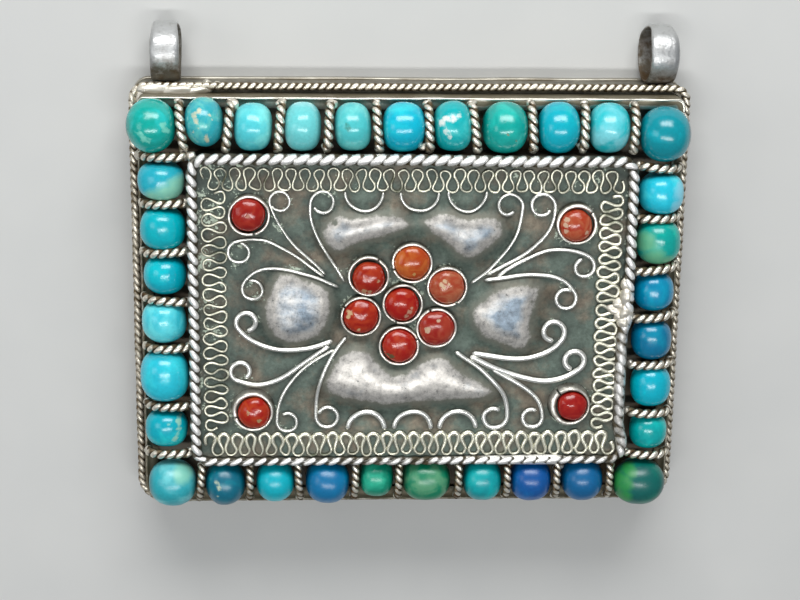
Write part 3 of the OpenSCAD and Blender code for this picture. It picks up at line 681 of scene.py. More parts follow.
# Where each wire ends at the strip and at the panel, measured along the side
divider_places = {
    "top": [
        [-22, -21.5], [-17.1, -17.6], [-12.4, -12.75], [-7.85, -8.2], [-3.6, -3.25], [1.3, 1.5], [5.5, 6],
        [11, 11.3], [16.2, 16], [20.9, 20.8]],
    "left": [
        [14.85, 15], [10.3, 10.6], [5.6, 5.9], [1.2, 0.9], [-3.8, -3.6], [-9.6, -9.5], [-14.5, -14.3]],
    "right": [
        [13.9, 14.2], [9.15, 9.1], [4.3, 3.9], [-0.5, -0.9], [-5.5, -5.6], [-10.6, -10.4], [-14.9, -14.7]],
    "bottom": [
        [-20.7, -20.3], [-15.7, -15.65], [-10.7, -10.95], [-5.4, -5.3], [-1.1, -1], [4.85, 4.9],
        [9.65, 9.75], [14.7, 14.6], [19.9, 19.85]]}
# Height of a wire over the trough: [share of the way from the strip to the panel, height]
divider_arch = np.array([[0, 7.5], [0.16, 8.75], [0.42, 9.5], [0.74, 9.55], [1, 9.1]])
arch = np.polyfit(divider_arch[:, 0], divider_arch[:, 1], 4)
ARCH_START = 0.06
# Each side: [axis that its wires follow, which way, diameter, lay, share of the way where they start, wear]
divider_sides = {
    "top": (1, 1, 0.95, 1.72, ARCH_START, 1), "left": (0, -1, 0.95, 1.72, ARCH_START, 1),
    "right": (0, 1, 0.95, 1.72, ARCH_START, 1), "bottom": (1, -1, 0.8, 1.4, 0.14, 0.62)}
dividers, divider_ends = [], []
for side, places in divider_places.items():
    axis, sign, thick, lay, first, rub = divider_sides[side]
    share = np.linspace(first, 1, DIVIDER_STEPS)
    for k, (at_wall, at_panel) in enumerate(places):
        path = np.zeros((DIVIDER_STEPS, 3))
        path[:, 1 - axis] = at_wall + (at_panel - at_wall) * share
        path[:, axis] = sign * (WALL_LINE[axis] + (BOX_LINE[axis] - WALL_LINE[axis]) * share)
        path[:, 2] = np.polyval(arch, share + ARCH_START - first)
        path[:, :2] += 0.05 * wobble(path, 4, 300 + 20 * axis + sign * k)[:, None]
        points, faces, wear = twisted(path, thick, lay, start=1.3 * k)
        dividers.append((points, faces, rub * wear))
        divider_ends.append((path[0], path[-1]))
divider_silver = old_silver(
    "twisted_divider_wire", "#f8f2e2", "#6a5d46", "#573f22", (0.26, 0.6), (0.34, 0.48), 0.9)
add_piece("divider_wires", joined(dividers), divider_silver, "wire_silver", "bead_dividers")


# Solder. Small drops of silver solder hold the dividers' ends, and larger runs lie on the rim's top left
# corner and over the panel's rope on the right. They set smooth and stay a dull grey-white.
def lump(middle, radii, seed, rows=16, around=24):
    """A drop of solder: a ball stretched to three radii and pushed in and out by smooth unevenness."""
    down = np.linspace(0.12, np.pi - 0.12, rows)[:, None]
    circle = on_circle(np.linspace(0, 2 * np.pi, around, endpoint=False))
    level = np.repeat(np.cos(down), around, 1)
    ball = np.concatenate([np.sin(down)[..., None] * circle, level[..., None]], 2)
    uneven = 0.2 * wobble(ball, 1.6, seed) + 0.06 * wobble(ball, 0.6, seed + 7)
    return skin(ball * (1 + uneven[..., None]) * radii + middle, np.linspace(0.9, 0.3, rows))


# [x, y, z, half widths along x, y and z]
solder_drops = np.array([
    [-16.9, 19.7, 8.0, 0.6, 0.5, 0.4], [-7.7, 19.8, 8.0, 0.55, 0.45, 0.4],
    [-12.6, 19.8, 7.7, 0.35, 0.35, 0.3], [-3.5, 19.9, 7.5, 0.3, 0.3, 0.25],
    [5.6, 19.9, 7.6, 0.35, 0.3, 0.25], [-24.3, 20.4, 4.45, 1.9, 0.85, 0.62],
    [-22.5, 20.4, 4.45, 1.8, 0.85, 0.6], [-20.7, 20.45, 4.35, 1.7, 0.62, 0.52],
    [-25.6, 19.7, 4.4, 0.7, 1.3, 0.55], [-26.0, 14.7, 6.6, 0.3, 0.5, 0.5], [20.5, 2.8, 10.2, 0.5, 0.7, 0.5],
    [20.6, 1.7, 10.2, 0.66, 0.9, 0.52], [20.1, 0.9, 10.0, 0.85, 0.6, 0.4],
    [19.5, 0.3, 9.95, 0.8, 0.5, 0.34], [20.1, -0.35, 10.0, 0.75, 0.6, 0.4],
    [20.6, 0.2, 10.2, 0.7, 0.9, 0.52], [20.4, -0.9, 10.15, 0.62, 0.7, 0.5],
    [-20.9, 15.0, 9.0, 0.5, 0.5, 0.4], [-19.6, 21.0, 2.9, 0.45, 0.3, 0.4],
    [-18.6, 21.0, 3.2, 0.3, 0.2, 0.25], [15.9, 16.0, 8.9, 0.5, 0.4, 0.35], [0.9, 15.9, 8.9, 0.5, 0.35, 0.3],
    [-8.2, 16.0, 9.0, 0.5, 0.35, 0.3], [14.8, -16.2, 8.9, 0.5, 0.4, 0.4],
    [20.0, -16.0, 9.0, 0.45, 0.4, 0.4], [21.0, 13.9, 9.0, 0.4, 0.45, 0.4]])
drops = [lump(drop[:3], drop[3:], 400 + k) for k, drop in enumerate(solder_drops)]
# A small drop lies just below each end of a divider
for k, ends in enumerate(divider_ends):
    for end, seed in zip(ends, (500 + k, 550 + k)):
        drops.append(lump(end - [0, 0, 0.25], [0.42, 0.42, 0.3], seed, 9, 14))
solder_silver = old_silver(
    "run_solder", "#ece6d8", "#968d78", "#7c6c50", (0.2, 0.7), (0.42, 0.58), 0.8, 0.05, (0.3, 0.75))
add_piece("solder_lumps", joined(drops), solder_silver, "wire_silver")


# Panel. A low box of sheet silver stands inside the beads. Its cover plate is embossed from behind into five
# pillows, which are rubbed bright, while the flat field round them keeps a dark grey-green tarnish.

# The box stands this far outside the rope's middle line
BOX_PROUD = 0.2
# Section of its wall, all round: [inset from the outer face, height, wear]
box_section = [
    [0, 6.12, 0.1], [0, 6.9, 0.1], [0, 7.8, 0.15], [0, 8.7, 0.2], [0, 9.2, 0.3], [0.04, 9.33, 0.4],
    [0.46, 9.33, 0.2], [0.5, 9.2, 0.1], [0.5, 6.12, 0.1]]
panel_half = PANEL_LINE + BOX_PROUD
rings, wear = [], []
for inset, height, rubbed in box_section:
    corner_r = PANEL_CORNER - inset
    rings.append(raised(rectangle(panel_half - inset, corner_r, corner_r, 70, 6), height))
    wear.append(np.full(len(rings[-1]), rubbed))
rings = np.stack(rings)
rings[..., :2] *= 1 + 0.0015 * wobble(rings, 6, 10)[..., None]
dark_sheet = old_silver("dark_silver_sheet", "#b9b5a8", "#4d4a42", "#4a3a24", (0.35, 0.9), (0.4, 0.55))
add_piece(
    "panel_side", closed_band(rings, np.concatenate(wear)), dark_sheet, "panel_silver", "panel_box")

# Height of the cover plate's flat field, its thickness, and the spacing of the points on it
PLATE_Z = 9.75
PLATE_THICK = 0.4
PLATE_STEP = 0.2
# Outlines of the rubbed part of each pillow, x and y in mm, and then how far the rubbing goes, one for white.
# Above one, it also brings in the painted blue-grey reflection on the pillow's top
pillows = [
    [[-12.7, 3.9], [-11.5, 4.0], [-10.2, 3.4], [-9.0, 3.0], [-8.0, 2.3], [-7.7, 1.0], [-8.0, -0.7],
     [-8.9, -2.2], [-10.3, -2.7], [-11.9, -3.0], [-13.1, -2.3], [-13.8, -1.4], [-14.2, -0.1],
     [-13.9, 1.5], [-13.4, 2.8]],
    [[12.2, 2.6], [12.0, 1.5], [11.7, 0.3], [11.4, -1.1], [11.5, -2.5], [10.8, -3.7], [9.9, -3.5],
     [8.4, -3.0], [6.9, -2.4], [6.0, -1.1], [5.7, 0.0], [6.0, 0.8], [7.2, 1.7], [8.3, 2.6], [9.7, 2.8],
     [10.9, 2.9]],
    [[-8.6, 8.0], [-8.0, 9.1], [-7.0, 9.7], [-5.9, 9.4], [-4.5, 9.5], [-3.1, 9.7], [-2.1, 9.8],
     [-1.0, 9.5], [-0.2, 8.7], [-1.2, 8.2], [-2.0, 7.8], [-3.1, 7.5], [-4.5, 7.1], [-5.5, 6.9],
     [-6.6, 6.2], [-7.5, 6.1], [-8.3, 7.0]],
    [[0.8, 9.0], [1.8, 9.7], [3.1, 9.9], [4.2, 9.5], [5.3, 9.3], [6.4, 9.5], [7.6, 9.5], [8.3, 9.0],
     [8.5, 7.8], [7.9, 7.1], [7.1, 6.4], [6.4, 5.8], [5.4, 5.4], [4.4, 5.7], [3.8, 6.4], [2.8, 7.2],
     [1.7, 7.9]],
    [[-8.5, -7.0], [-7.5, -5.1], [-6.7, -4.0], [-5.9, -3.6], [-4.8, -3.6], [-4.0, -3.8], [-3.4, -4.7],
     [-2.7, -5.5], [-1.7, -6.1], [-0.7, -6.1], [0.8, -5.0], [1.8, -4.5], [2.7, -4.3], [3.4, -4.6],
     [4.2, -5.4], [5.2, -6.1], [7.7, -7.5], [8.1, -8.0], [7.1, -8.5], [4.3, -8.7], [0.4, -8.9],
     [-2.5, -9.2], [-4.5, -8.9], [-6.4, -8.5], [-7.9, -8.0]]]
# Above one, the rubbing also paints a blue-grey reflection on the pillow's top
pillow_rub_and_reflection = [1.9, 2.6, 1.6, 1.9, 1.1]
# Each pillow rises this high, from a foot this far outside its outline, over an edge this wide, and keeps
# this far from the middles of the corals
PILLOW_RISE = 1.0
PILLOW_FOOT = 0.75
PILLOW_EDGE = 2.4
CORAL_CLEAR = 2.25


def depth_inside(points, outline):
    """Distance from each point to an outline, positive inside it: the nearest place on each edge, and a count
    of the edges crossed on the way out to tell inside from outside."""
    start = np.array(outline)
    edge = np.roll(start, -1, 0) - start
    offset = points[:, None] - start
    share = np.clip((offset * edge).sum(2) / (edge ** 2).sum(1), 0, 1)
    nearest = np.linalg.norm(offset - share[..., None] * edge, axis=2).min(1)
    above = points[:, None, 1] >= start[:, 1]
    crosses = above != (points[:, None, 1] >= np.roll(start, -1, 0)[:, 1])
    slope = np.where(edge[:, 1] == 0, 1, edge[:, 1])
    left = offset[..., 0] < offset[..., 1] * edge[:, 0] / slope
    return np.where((crosses & left).sum(1) % 2, nearest, -nearest)


def soften(field, reach):
    """Rounds creases in a field of heights: each row and then each column becomes a running bell-shaped
    mean."""
    bell = np.exp(-np.arange(-3 * reach, 3 * reach + 1) ** 2 / (2.0 * reach ** 2))
    bell /= bell.sum()
    for _ in range(2):
        padded = np.pad(field, ((3 * reach, 3 * reach), (0, 0)), "edge")
        field = sum(weight * padded[k:k + len(field)] for k, weight in enumerate(bell)).T
    return field


grid_x, grid_y = [np.linspace(-half, half, int(2 * half / PLATE_STEP) + 1) for half in panel_half]
plate_x, plate_y = np.meshgrid(grid_x, grid_y)
flat = np.column_stack([plate_x.ravel(), plate_y.ravel()])
coral_boxes = np.array([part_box("coral_%d" % (k + 1)) for k in range(11)]) / MM
coral_middles = coral_boxes.mean(1)[:, :2]
coral_foot = coral_boxes[0, 0, 2]
to_coral = np.linalg.norm(flat[:, None] - coral_middles, axis=2).min(1)
rise = np.zeros(len(flat))
rubbed_depth = np.full(len(flat), -9.0)
most_rub_and_reflection = np.ones(len(flat))
for outline, most in zip(pillows, pillow_rub_and_reflection):
    depth = depth_inside(flat, outline)
    most_rub_and_reflection = np.where(depth > rubbed_depth, most, most_rub_and_reflection)
    rubbed_depth = np.maximum(rubbed_depth, depth)
    inside = np.clip(np.minimum(depth + PILLOW_FOOT, to_coral - CORAL_CLEAR) / PILLOW_EDGE, 0, 1)
    rise = np.maximum(rise, PILLOW_RISE * (1 - (1 - inside) ** 2) ** 0.75)
pillow_rise = soften(rise.reshape(plate_x.shape), 3)
# The sheet waves by about 0.02 mm, and more on the pillows, which are also dented finely
waves = 0.022 * wobble(flat, 3.0, 11).reshape(plate_x.shape)
dents = (0.03 * wobble(flat, 3.4, 13) + 0.008 * wobble(flat, 1.1, 12)).reshape(plate_x.shape)
plate_height = PLATE_Z + pillow_rise + waves + dents * pillow_rise


def plate_at(x, y):
    """Height of the cover plate under a place, weighed from the four nearest grid points. A place on the far
    edge is drawn in by a thousandth of a grid step, so that it has all four."""
    column = np.clip((x + panel_half[0]) / (grid_x[1] - grid_x[0]), 0, len(grid_x) - 1.001)
    row = np.clip((y + panel_half[1]) / (grid_y[1] - grid_y[0]), 0, len(grid_y) - 1.001)
    c, r = column.astype(int), row.astype(int)
    u, v = column - c, row - r
    return (
        plate_height[r, c] * (1 - u) * (1 - v) + plate_height[r, c + 1] * u * (1 - v)
        + plate_height[r + 1, c] * (1 - u) * v + plate_height[r + 1, c + 1] * u * v)


# Scroll wires. Half-round wires are bent into sprays that end in small curls, and soldered flat on the plate
# with six half circles along the long edges. Their tops are rubbed white.

# Scrolls: [root x, root y, root direction, curl x, curl y, curl radius, opening, entry angle, turn, width of
# the wire], in mm and degrees. The opening is how many times wider the curl starts than it ends.
scroll_table = [
    [-8.3, 3.85, 136, -12.6, 10.9, 0.88, 1.1, 195, -345, 0.25],
    [-6.45, 3.1, 120, -8.55, 10.75, 0.9, 1.3, 175, -330, 0.28],
    [-8.45, 3.6, 146, -16.5, 5.95, 0.93, 1.15, 110, 330, 0.28],
    [-7.1, 2.65, 158, -15.2, 2.35, 0.9, 1.2, 145, 325, 0.3],
    [5.6, 2.85, 38, 8.95, 10.45, 0.72, 1.95, 0, 320, 0.3],
    [7.1, 3.75, 28, 12.2, 10.45, 0.9, 1.45, 0, 335, 0.34],
    [8.1, 3.6, 36, 16.35, 4.5, 0.78, 1.45, 60, -320, 0.38],
    [6.9, 3.2, 8, 14.75, 1.35, 0.9, 1.2, 35, -340, 0.4],
    [-7.6, -2.8, 200, -15.8, -0.9, 0.85, 1.2, 215, -300, 0.48],
    [-7.9, -3.3, 212, -16.4, -5.8, 0.8, 1.3, 245, -305, 0.46],
    [-7.5, -3.6, 210, -11.95, -11.0, 0.83, 1.25, 180, 305, 0.32],
    [-6.25, -2.4, 228, -8.05, -10.45, 0.9, 1.3, 180, 345, 0.38],
    [5.9, -4.1, 350, 13.65, -1.95, 0.84, 1.45, 325, 310, 0.54],
    [5.7, -4.4, 334, 15.8, -4.85, 0.85, 1.25, 310, 310, 0.58],
    [7.9, -5.7, 325, 11.8, -10.65, 0.8, 1.4, 0, -306, 0.44],
    [4.2, -3.9, 326, 8.15, -10.6, 0.85, 1.55, 0, -310, 0.46]]
# Half circles: [middle x, 1 at the top or -1 at the bottom, width of the wire]
half_circles = [
    [-4.7, 1, 0.28], [0.55, 1, 0.28], [5.1, 1, 0.28], [-4.3, -1, 0.52], [0.2, -1, 0.52], [4.6, -1, 0.52]]
HALF_CIRCLE_R = 1.8
# Half the width and half the height of the field inside the looped border
FIELD = np.array([17.6, 11.9])


def scroll_line(root_x, root_y, heading, curl_x, curl_y, radius, opening, entry, turn):
    """A scroll seen from above: a cubic curve from the root, along its heading, that meets the curl, then a
    circle that draws in from its opening: radius times (1 + (opening - 1) (1 - share of the turn) ^ 1.5)."""
    heading, entry, turn = np.radians([heading, entry, turn])
    root, curl = np.array([root_x, root_y]), np.array([curl_x, curl_y])
    meet = curl + radius * opening * on_circle(entry)
    pull = 0.38 * np.linalg.norm(meet - root)
    leave = root + pull * on_circle(heading)
    arrive = meet - pull * np.sign(turn) * np.array([-np.sin(entry), np.cos(entry)])
    t = np.linspace(0, 1, 40, endpoint=False)[:, None]
    stem = (1 - t) ** 3 * root + 3 * (1 - t) ** 2 * t * leave + 3 * (1 - t) * t ** 2 * arrive + t ** 3 * meet
    share = np.linspace(0, 1, 36)
    angle = entry + turn * share
    reach = radius * (1 + (opening - 1) * (1 - share) ** 1.5)
    ring = curl + reach[:, None] * on_circle(angle)
    return np.vstack([stem, ring])


def laid_on_plate(line, lift):
    """A flat line carried up to lie on the cover plate, lifted by half the wire."""
    return raised(line, plate_at(line[:, 0], line[:, 1]) + lift)


lines = [(scroll_line(*row), width) for *row, width in scroll_table]
angle = np.linspace(0, np.pi, 30)
for x, side, width in half_circles:
    from_edge = 0.1 + HALF_CIRCLE_R * np.sin(angle)
    lines.append((np.column_stack([x + HALF_CIRCLE_R * np.cos(angle), side * (FIELD[1] - from_edge)]), width))
wires = []
for k, (line, width) in enumerate(lines):
    line = line + 0.05 * np.stack([wobble(line, 4, 600 + k), wobble(line, 4, 650 + k)], 1)
    width = width + 0.03 * wobble(line, 5, 700 + k)
    step = np.arange(len(line))
    taper = np.clip(np.minimum(step, step[::-1]) / 2 + 0.45, 0, 1)
    points, faces, wear = tube(laid_on_plate(line, 0.17), UP, width * taper, 0.42 * taper)
    wires.append((points, faces, wear * (1 + 0.14 * wobble(points, 3, 750 + k))))
scroll_silver = old_silver(
    "rubbed_scroll_wire", "#fffff8", "#666a5e", "#5c5640", (0.36, 0.66), (0.3, 0.48), 1.0)
add_piece("scrolls", joined(wires), scroll_silver, "wire_silver", "scroll_wires")

# Cover plate mesh: the grid above, with its corners drawn in to the panel's rounded outline, a short edge,
# and a flat underside
corner = np.abs(flat) - (panel_half - PANEL_CORNER)
in_corner = (corner > 0).all(1)
drawn = np.where(in_corner, corner.max(1) / np.maximum(np.linalg.norm(corner, axis=1), 1e-6), 1)[:, None]
drawn_in = np.where(
    in_corner[:, None], np.sign(flat) * (panel_half - PANEL_CORNER + corner * drawn), flat)
top = np.column_stack([drawn_in, plate_height.ravel()])
rows, columns = plate_x.shape
border = np.concatenate([
    np.arange(columns), np.arange(1, rows) * columns + columns - 1,
    (rows - 1) * columns + np.arange(columns - 1)[::-1], np.arange(1, rows - 1)[::-1] * columns])
underside = PLATE_Z - PLATE_THICK
lower = top[border] * [1, 1, 0] + [0, 0, underside]
ring = np.arange(len(border))
ahead = np.roll(ring, -1)
edge = np.stack([border, border[ahead], len(top) + ahead, len(top) + ring], 1)
under = np.stack([len(top) + ahead, len(top) + ring, np.full(len(ring), len(top) + len(ring))], 1)
points = np.vstack([top, lower, [[0, 0, underside]]])
hidden = np.zeros(len(ring) + 1)

# How much the pillows are rubbed: more the deeper a point lies inside an outline, but not in the dark pits.
# Above one, it also brings in the painted blue-grey reflection on their tops.
# Pits: [x, y, radius]
pits = np.array([
    [-7.4, 8.9, 0.3], [-0.6, 9.2, 0.16], [7.9, 8.6, 0.14], [-9.9, 3.0, 0.14], [11.3, 1.2, 0.14]])
pitted = np.exp(-(np.linalg.norm(flat[:, None] - pits[:, :2], axis=2) / pits[:, 2]) ** 2).max(1)
rubbed = np.clip(np.minimum(0.35 + rubbed_depth / 0.8, most_rub_and_reflection), -1, 3)
rubbed = np.append(np.where(rubbed > 0, rubbed * (1 - pitted), rubbed), hidden)

# How much the field is touched: less close to a wire or to a collar's outer face, which is 2 mm from its
# coral's middle. Painted light and shade by place are multiplied in: less towards the panel's ends and its
# top left corner, and more from the top towards the bottom
wire_points = np.vstack([line for line, _ in lines])[::2]
to_wire = np.concatenate([
    np.linalg.norm(part[:, None] - wire_points, axis=2).min(1) for part in np.array_split(flat, 40)])
to_wire = np.minimum(to_wire, np.abs(to_coral - 2.0))
to_wire = np.where((np.abs(flat) > FIELD).any(1), np.where(flat[:, 1] < -FIELD[1], 0.75, 0.4), to_wire)
# Painted light and shade: the second factor makes the field lighter towards the bottom and the middle, and
# darker towards the ends and the top left
handled = np.clip(to_wire / 1.2, 0, 1) * (
    1.16 - 0.0016 * flat[:, 0] ** 2 + 0.014 * np.minimum(flat[:, 0], 0) - 0.012 * flat[:, 1])
handled = np.append(handled, hidden)

# Tarnished silver plate: sulphide makes the field a matt grey-green with brown patches, nearly black close to
# wires and collars where nothing rubs it, and old flux leaves pale green crumbs there. Painted light and
# shade make the field lighter towards the bottom and the middle, and darker towards the ends and the top
# left. The pillows are worn back to soft white metal with a painted blue-grey reflection on top, a brown-grey
# edge and dark pits.
plate_silver, add, finish = new_material("embossed_silver_plate")
place = add("TexCoord", out="Object")
wear = add("Attribute", out="Fac", attribute_name="wear")
# How much the field is touched, with painted light and shade by place
touched_and_lit = add("Attribute", out="Fac", attribute_name="handled")
# Noise patterns: (size in mm, detail, roughness)
patterns = {
    "patches": (3.4, 6.0, 0.62), "broad": (2.0, 6.0, 0.62), "grain": (0.45, 5.0, 0.7),
    "edge": (0.9, 7.0, 0.72), "cloud": (2.4, 4.0, 0.6), "scuffs": (0.9, 8.0, 0.8), "crumbs": (0.28, 3.0, 0.6)}
noise = {
    name: add("TexNoise", {"Vector": place, "Scale": PER_MM / size, "Detail": detail, "Roughness": rough})
    for name, (size, detail, rough) in patterns.items()}
# The field: grey-green and brown, shaded by how much it is touched and by painted light and shade by place,
# and speckled
spots = add("MapRange", {"Value": noise["patches"], "From Min": 0.46, "From Max": 0.64})
field = add("Mix", {"Factor": spots, "A": srgb("#59665d"), "B": srgb("#776e5f")}, data_type="RGBA")
shade = add("Math", {0: noise["broad"], 1: 1.5, 2: -0.45}, operation="MULTIPLY_ADD")
shade = add("Math", {0: shade, 1: touched_and_lit}, operation="ADD")
shade = add("MapRange", {"Value": shade, "From Min": 0.1, "From Max": 1.5, "To Min": 0.36, "To Max": 1.25})
speckle = {"Value": noise["grain"], "From Min": 0.3, "From Max": 0.7, "To Min": 0.66, "To Max": 1.34}
for layer in (shade, add("MapRange", speckle)):
    field = add("Mix", {"Factor": 1.0, "A": field, "B": layer}, **MULTIPLY)
# The rubbing has a ragged edge, and greys the field round it
worn = add("Math", {0: noise["edge"], 1: 1.2, 2: -0.6}, operation="MULTIPLY_ADD")
worn = add("Math", {0: wear, 1: worn}, operation="ADD")
greyed = add(
    "MapRange", {"Value": worn, "From Min": -0.7, "From Max": 0.6, "To Max": 0.8},
    interpolation_type="SMOOTHSTEP")
worn = add("MapRange", {"Value": worn, "From Min": 0.34, "From Max": 0.84}, interpolation_type="SMOOTHSTEP")
# The rubbed metal: white, with a painted blue-grey reflection in clouds on top, scuffed, with specks of
# tarnish
blue_reflection = add("Math", {0: wear, 1: 0.35, 2: noise["cloud"]}, operation="MULTIPLY_ADD")
blue_reflection = add("MapRange", {"Value": blue_reflection, "From Min": 0.93, "From Max": 1.28})
white = add("Mix", {"Factor": blue_reflection, "A": srgb("#dcd8d1"), "B": srgb("#8694a0")}, data_type="RGBA")
scuffed = add("MapRange", {"Value": noise["scuffs"], "From Min": 0.38, "From Max": 0.58, "To Min": 0.55})
white = add("Mix", {"Factor": 1.0, "A": white, "B": scuffed}, **MULTIPLY)
specks = add("MapRange", {"Value": noise["grain"], "From Min": 0.38, "From Max": 0.3})
white = add("Mix", {"Factor": specks, "A": white, "B": srgb("#5a5e5e")}, data_type="RGBA")
tint = add("Mix", {"Factor": greyed, "A": field, "B": srgb("#7f7f74")}, data_type="RGBA")
tint = add("Mix", {"Factor": worn, "A": tint, "B": white}, data_type="RGBA")
crumbs = add("Math", {0: touched_and_lit, 1: -0.8, 2: noise["crumbs"]}, operation="MULTIPLY_ADD")
crumbs = add("Math", {0: noise["broad"], 1: 1.4, 2: crumbs}, operation="MULTIPLY_ADD")
crumbs = add("MapRange", {"Value": crumbs, "From Min": 1.25, "From Max": 1.34})
tint = add("Mix", {"Factor": crumbs, "A": tint, "B": srgb("#a9b5a4")}, data_type="RGBA")
finish({
    "Base Color": tint,
    "Roughness": add("MapRange", {"Value": worn, "To Min": 0.5, "To Max": 0.4}),
    "Metallic": add("MapRange", {"Value": worn, "To Min": 0.45, "To Max": 0.68}),
    "Normal": add("Bump", {"Height": noise["grain"], "Strength": 0.6, "Distance": 0.03 * MM})})
plate = points, [quads(rows, columns), edge, under], rubbed
add_piece("embossed_plate", plate, plate_silver, "panel_silver", "panel_plate", handled=handled)


# Looped border. Thin wire is bent to and fro in tear-drop loops and soldered flat between the field and the
# panel's rope on all four sides. The loops are uneven, closer on the right, wider apart on the left, and
# along the bottom their inner turns are thick and rubbed white.
LOOP_FACETS = 8


def loop_line(length, height, count, swing):
    """A wire bent to and fro: its heading swings as the cosine of its running length, and because the swing
    is more than a right angle each turn closes into a loop with a narrow neck. The steps along the heading
    are added up and stretched to the band's length and height."""
    phase = np.linspace(0, 2 * np.pi * count, 32 * count + 1)
    heading = np.radians(swing) * np.cos(phase)
    line = np.cumsum(on_circle(heading), 0)
    low, high = line.min(0), line.max(0)
    return (line - (low + high) / 2) / (high - low) * [length, height]


# Runs: [length, middle x, middle y, fall in mm per mm, upright, count of loops, swing in degrees, width of
# the band, width of the wire, how much it is rubbed, how much thicker its inner turns are]
loop_runs = [
    [39.9, 0.0, 12.9, 0.0065, False, 30, 115, 2.36, 0.25, 0.86, 0],
    [39.9, 0.0, -13.33, 0, False, 30, 114, 2.56, 0.36, 1.22, 0.32],
    [23.6, -18.82, 0.0, 0, True, 16, 113, 2.52, 0.29, 0.86, 0],
    [23.2, 18.83, -0.15, 0, True, 18, 114, 2.42, 0.33, 0.9, 0]]
bands = []
for k, (length, x, y, fall, upright, count, swing, band, wire, rub, more) in enumerate(loop_runs):
    line = loop_line(length, band - wire, count, swing)
    if upright:
        line = line[:, ::-1] * [1, -1]
    line = line + [x, y] + 0.09 * np.stack([wobble(line, 1.8, 800 + k), wobble(line, 1.8, 820 + k)], 1)
    line[:, 1] -= fall * line[:, 0]
    lift = 0.14 + 0.03 * wobble(line, 3, 840 + k)
    inner = np.clip((FIELD[1] + 1.35 - np.abs(line[:, 1])) / 1.1, -1, 1) * (more > 0)
    width = wire * (
        1 + 0.008 * line[:, 0] - 0.006 * line[:, 1] + 0.07 * wobble(line, 2, 860 + k) + more * inner)
    points, faces, wear = tube(laid_on_plate(line, lift), UP, width, 0.36, facets=LOOP_FACETS)
    wear = rub * wear * (1 + 0.35 * np.repeat(inner, LOOP_FACETS))
    bands.append((points, faces, wear * (1 + 0.22 * wobble(points, 3, 880 + k))))
loop_silver = old_silver(
    "looped_border_wire", "#eeecd8", "#666b58", "#57543e", (0.46, 0.84), (0.34, 0.5), 1.3)
add_piece("looped_border", joined(bands), loop_silver, "wire_silver", "filigree_band")


# Coral settings. Each stone stands in a collar of thin strip, bent round, closed with an open seam, and
# soldered to the plate. Its top edge is rubbed bright.
COLLAR_R = 1.95
COLLAR_STEPS = 90
# Section of the strip: [distance in from the outer face, height, wear, more wear for each mm of solder foot]
collar_section = np.array([
    [0.0, 0.0, 0.3, 2.6], [0.0, 0.45, 0.45, 2.0], [0.0, 0.83, 0.9, 0], [0.05, 0.9, 1.0, 0],
    [0.15, 0.9, 1.0, 0], [0.21, 0.83, 0.7, 0], [0.21, 0.4, 0.25, 0], [0.21, 0.0, 0.1, 0]])


def collar(middle, seam, rub, thicker, away, foot, seed):
    """A nearly round open ring of strip: the section carried round from one side of the seam to the other,
    with the radius a little oval and drawn in near the end, and the top edge uneven. Its thickness grows as
    a cosine to that many times more on one side, and its foot spreads outward in solder."""
    inset, height, wear, foot_wear = collar_section.T
    angle = np.radians(seam) + np.linspace(0.05, 2 * np.pi - 0.05, COLLAR_STEPS)
    circle = on_circle(angle)
    from_end = np.arange(COLLAR_STEPS) - (COLLAR_STEPS - 2)
    oval = 1 + 0.014 * wobble(circle, 2.2, seed) - 0.02 * np.exp(-(from_end / 5.0) ** 2)
    thickness = 1 + thicker * (0.5 + 0.5 * np.cos(angle - np.radians(away)))
    radius = COLLAR_R * oval[:, None] - inset * thickness[:, None]
    radius[:, 0] += foot
    height = height * (1 + 0.07 * wobble(circle, 1.5, seed + 1)[:, None]) + coral_foot
    points = np.concatenate([radius[..., None] * circle[:, None] + middle, height[..., None]], 2)
    section = np.arange(len(inset))
    ends = np.stack([section[::-1], (COLLAR_STEPS - 1) * len(inset) + section])
    faces = [quads(COLLAR_STEPS, len(inset), False, True), ends]
    return points.reshape(-1, 3), faces, rub * np.tile(wear + foot * foot_wear, COLLAR_STEPS)


# Each collar's seam in degrees, how much it is rubbed, how much thicker it is on one side, the direction of
# that side in degrees, and the spread of its foot in mm
collar_table = [
    [250, 0.72, 0, 0, 0], [200, 1.0, 0, 0, 0], [60, 1.0, 0, 0, 0], [150, 0.74, 0, 0, 0], [20, 0.95, 0, 0, 0],
    [110, 1.0, 0, 0, 0], [300, 1.0, 0, 0, 0], [285, 0.9, 0, 0, 0.06], [40, 0.85, 0.6, 80, 0.06],
    [200, 0.78, 0.8, 140, 0.18], [130, 0.7, 1.4, 170, 0.2]]
collars = [collar(coral_middles[k], *row, 900 + 2 * k) for k, row in enumerate(collar_table)]
collar_silver = old_silver(
    "thin_collar_strip", "#fffcf2", "#625e50", "#54442a", (0.42, 0.8), (0.28, 0.46), 1.2)
add_piece("collars", joined(collars), collar_silver, "wire_silver", "coral_settings")


# Corals. Eleven low domes of red coral, ground by hand, so they are not quite round. They have a waxy polish,
# small pits, and cream chips where the stone was flawed.
CORAL_FACETS = 48
# Radius of a full-sized stone, and the heights where its crown starts and ends
CORAL_R, CORAL_SHOULDER, CORAL_TOP = 1.69, 0.58, 1.46
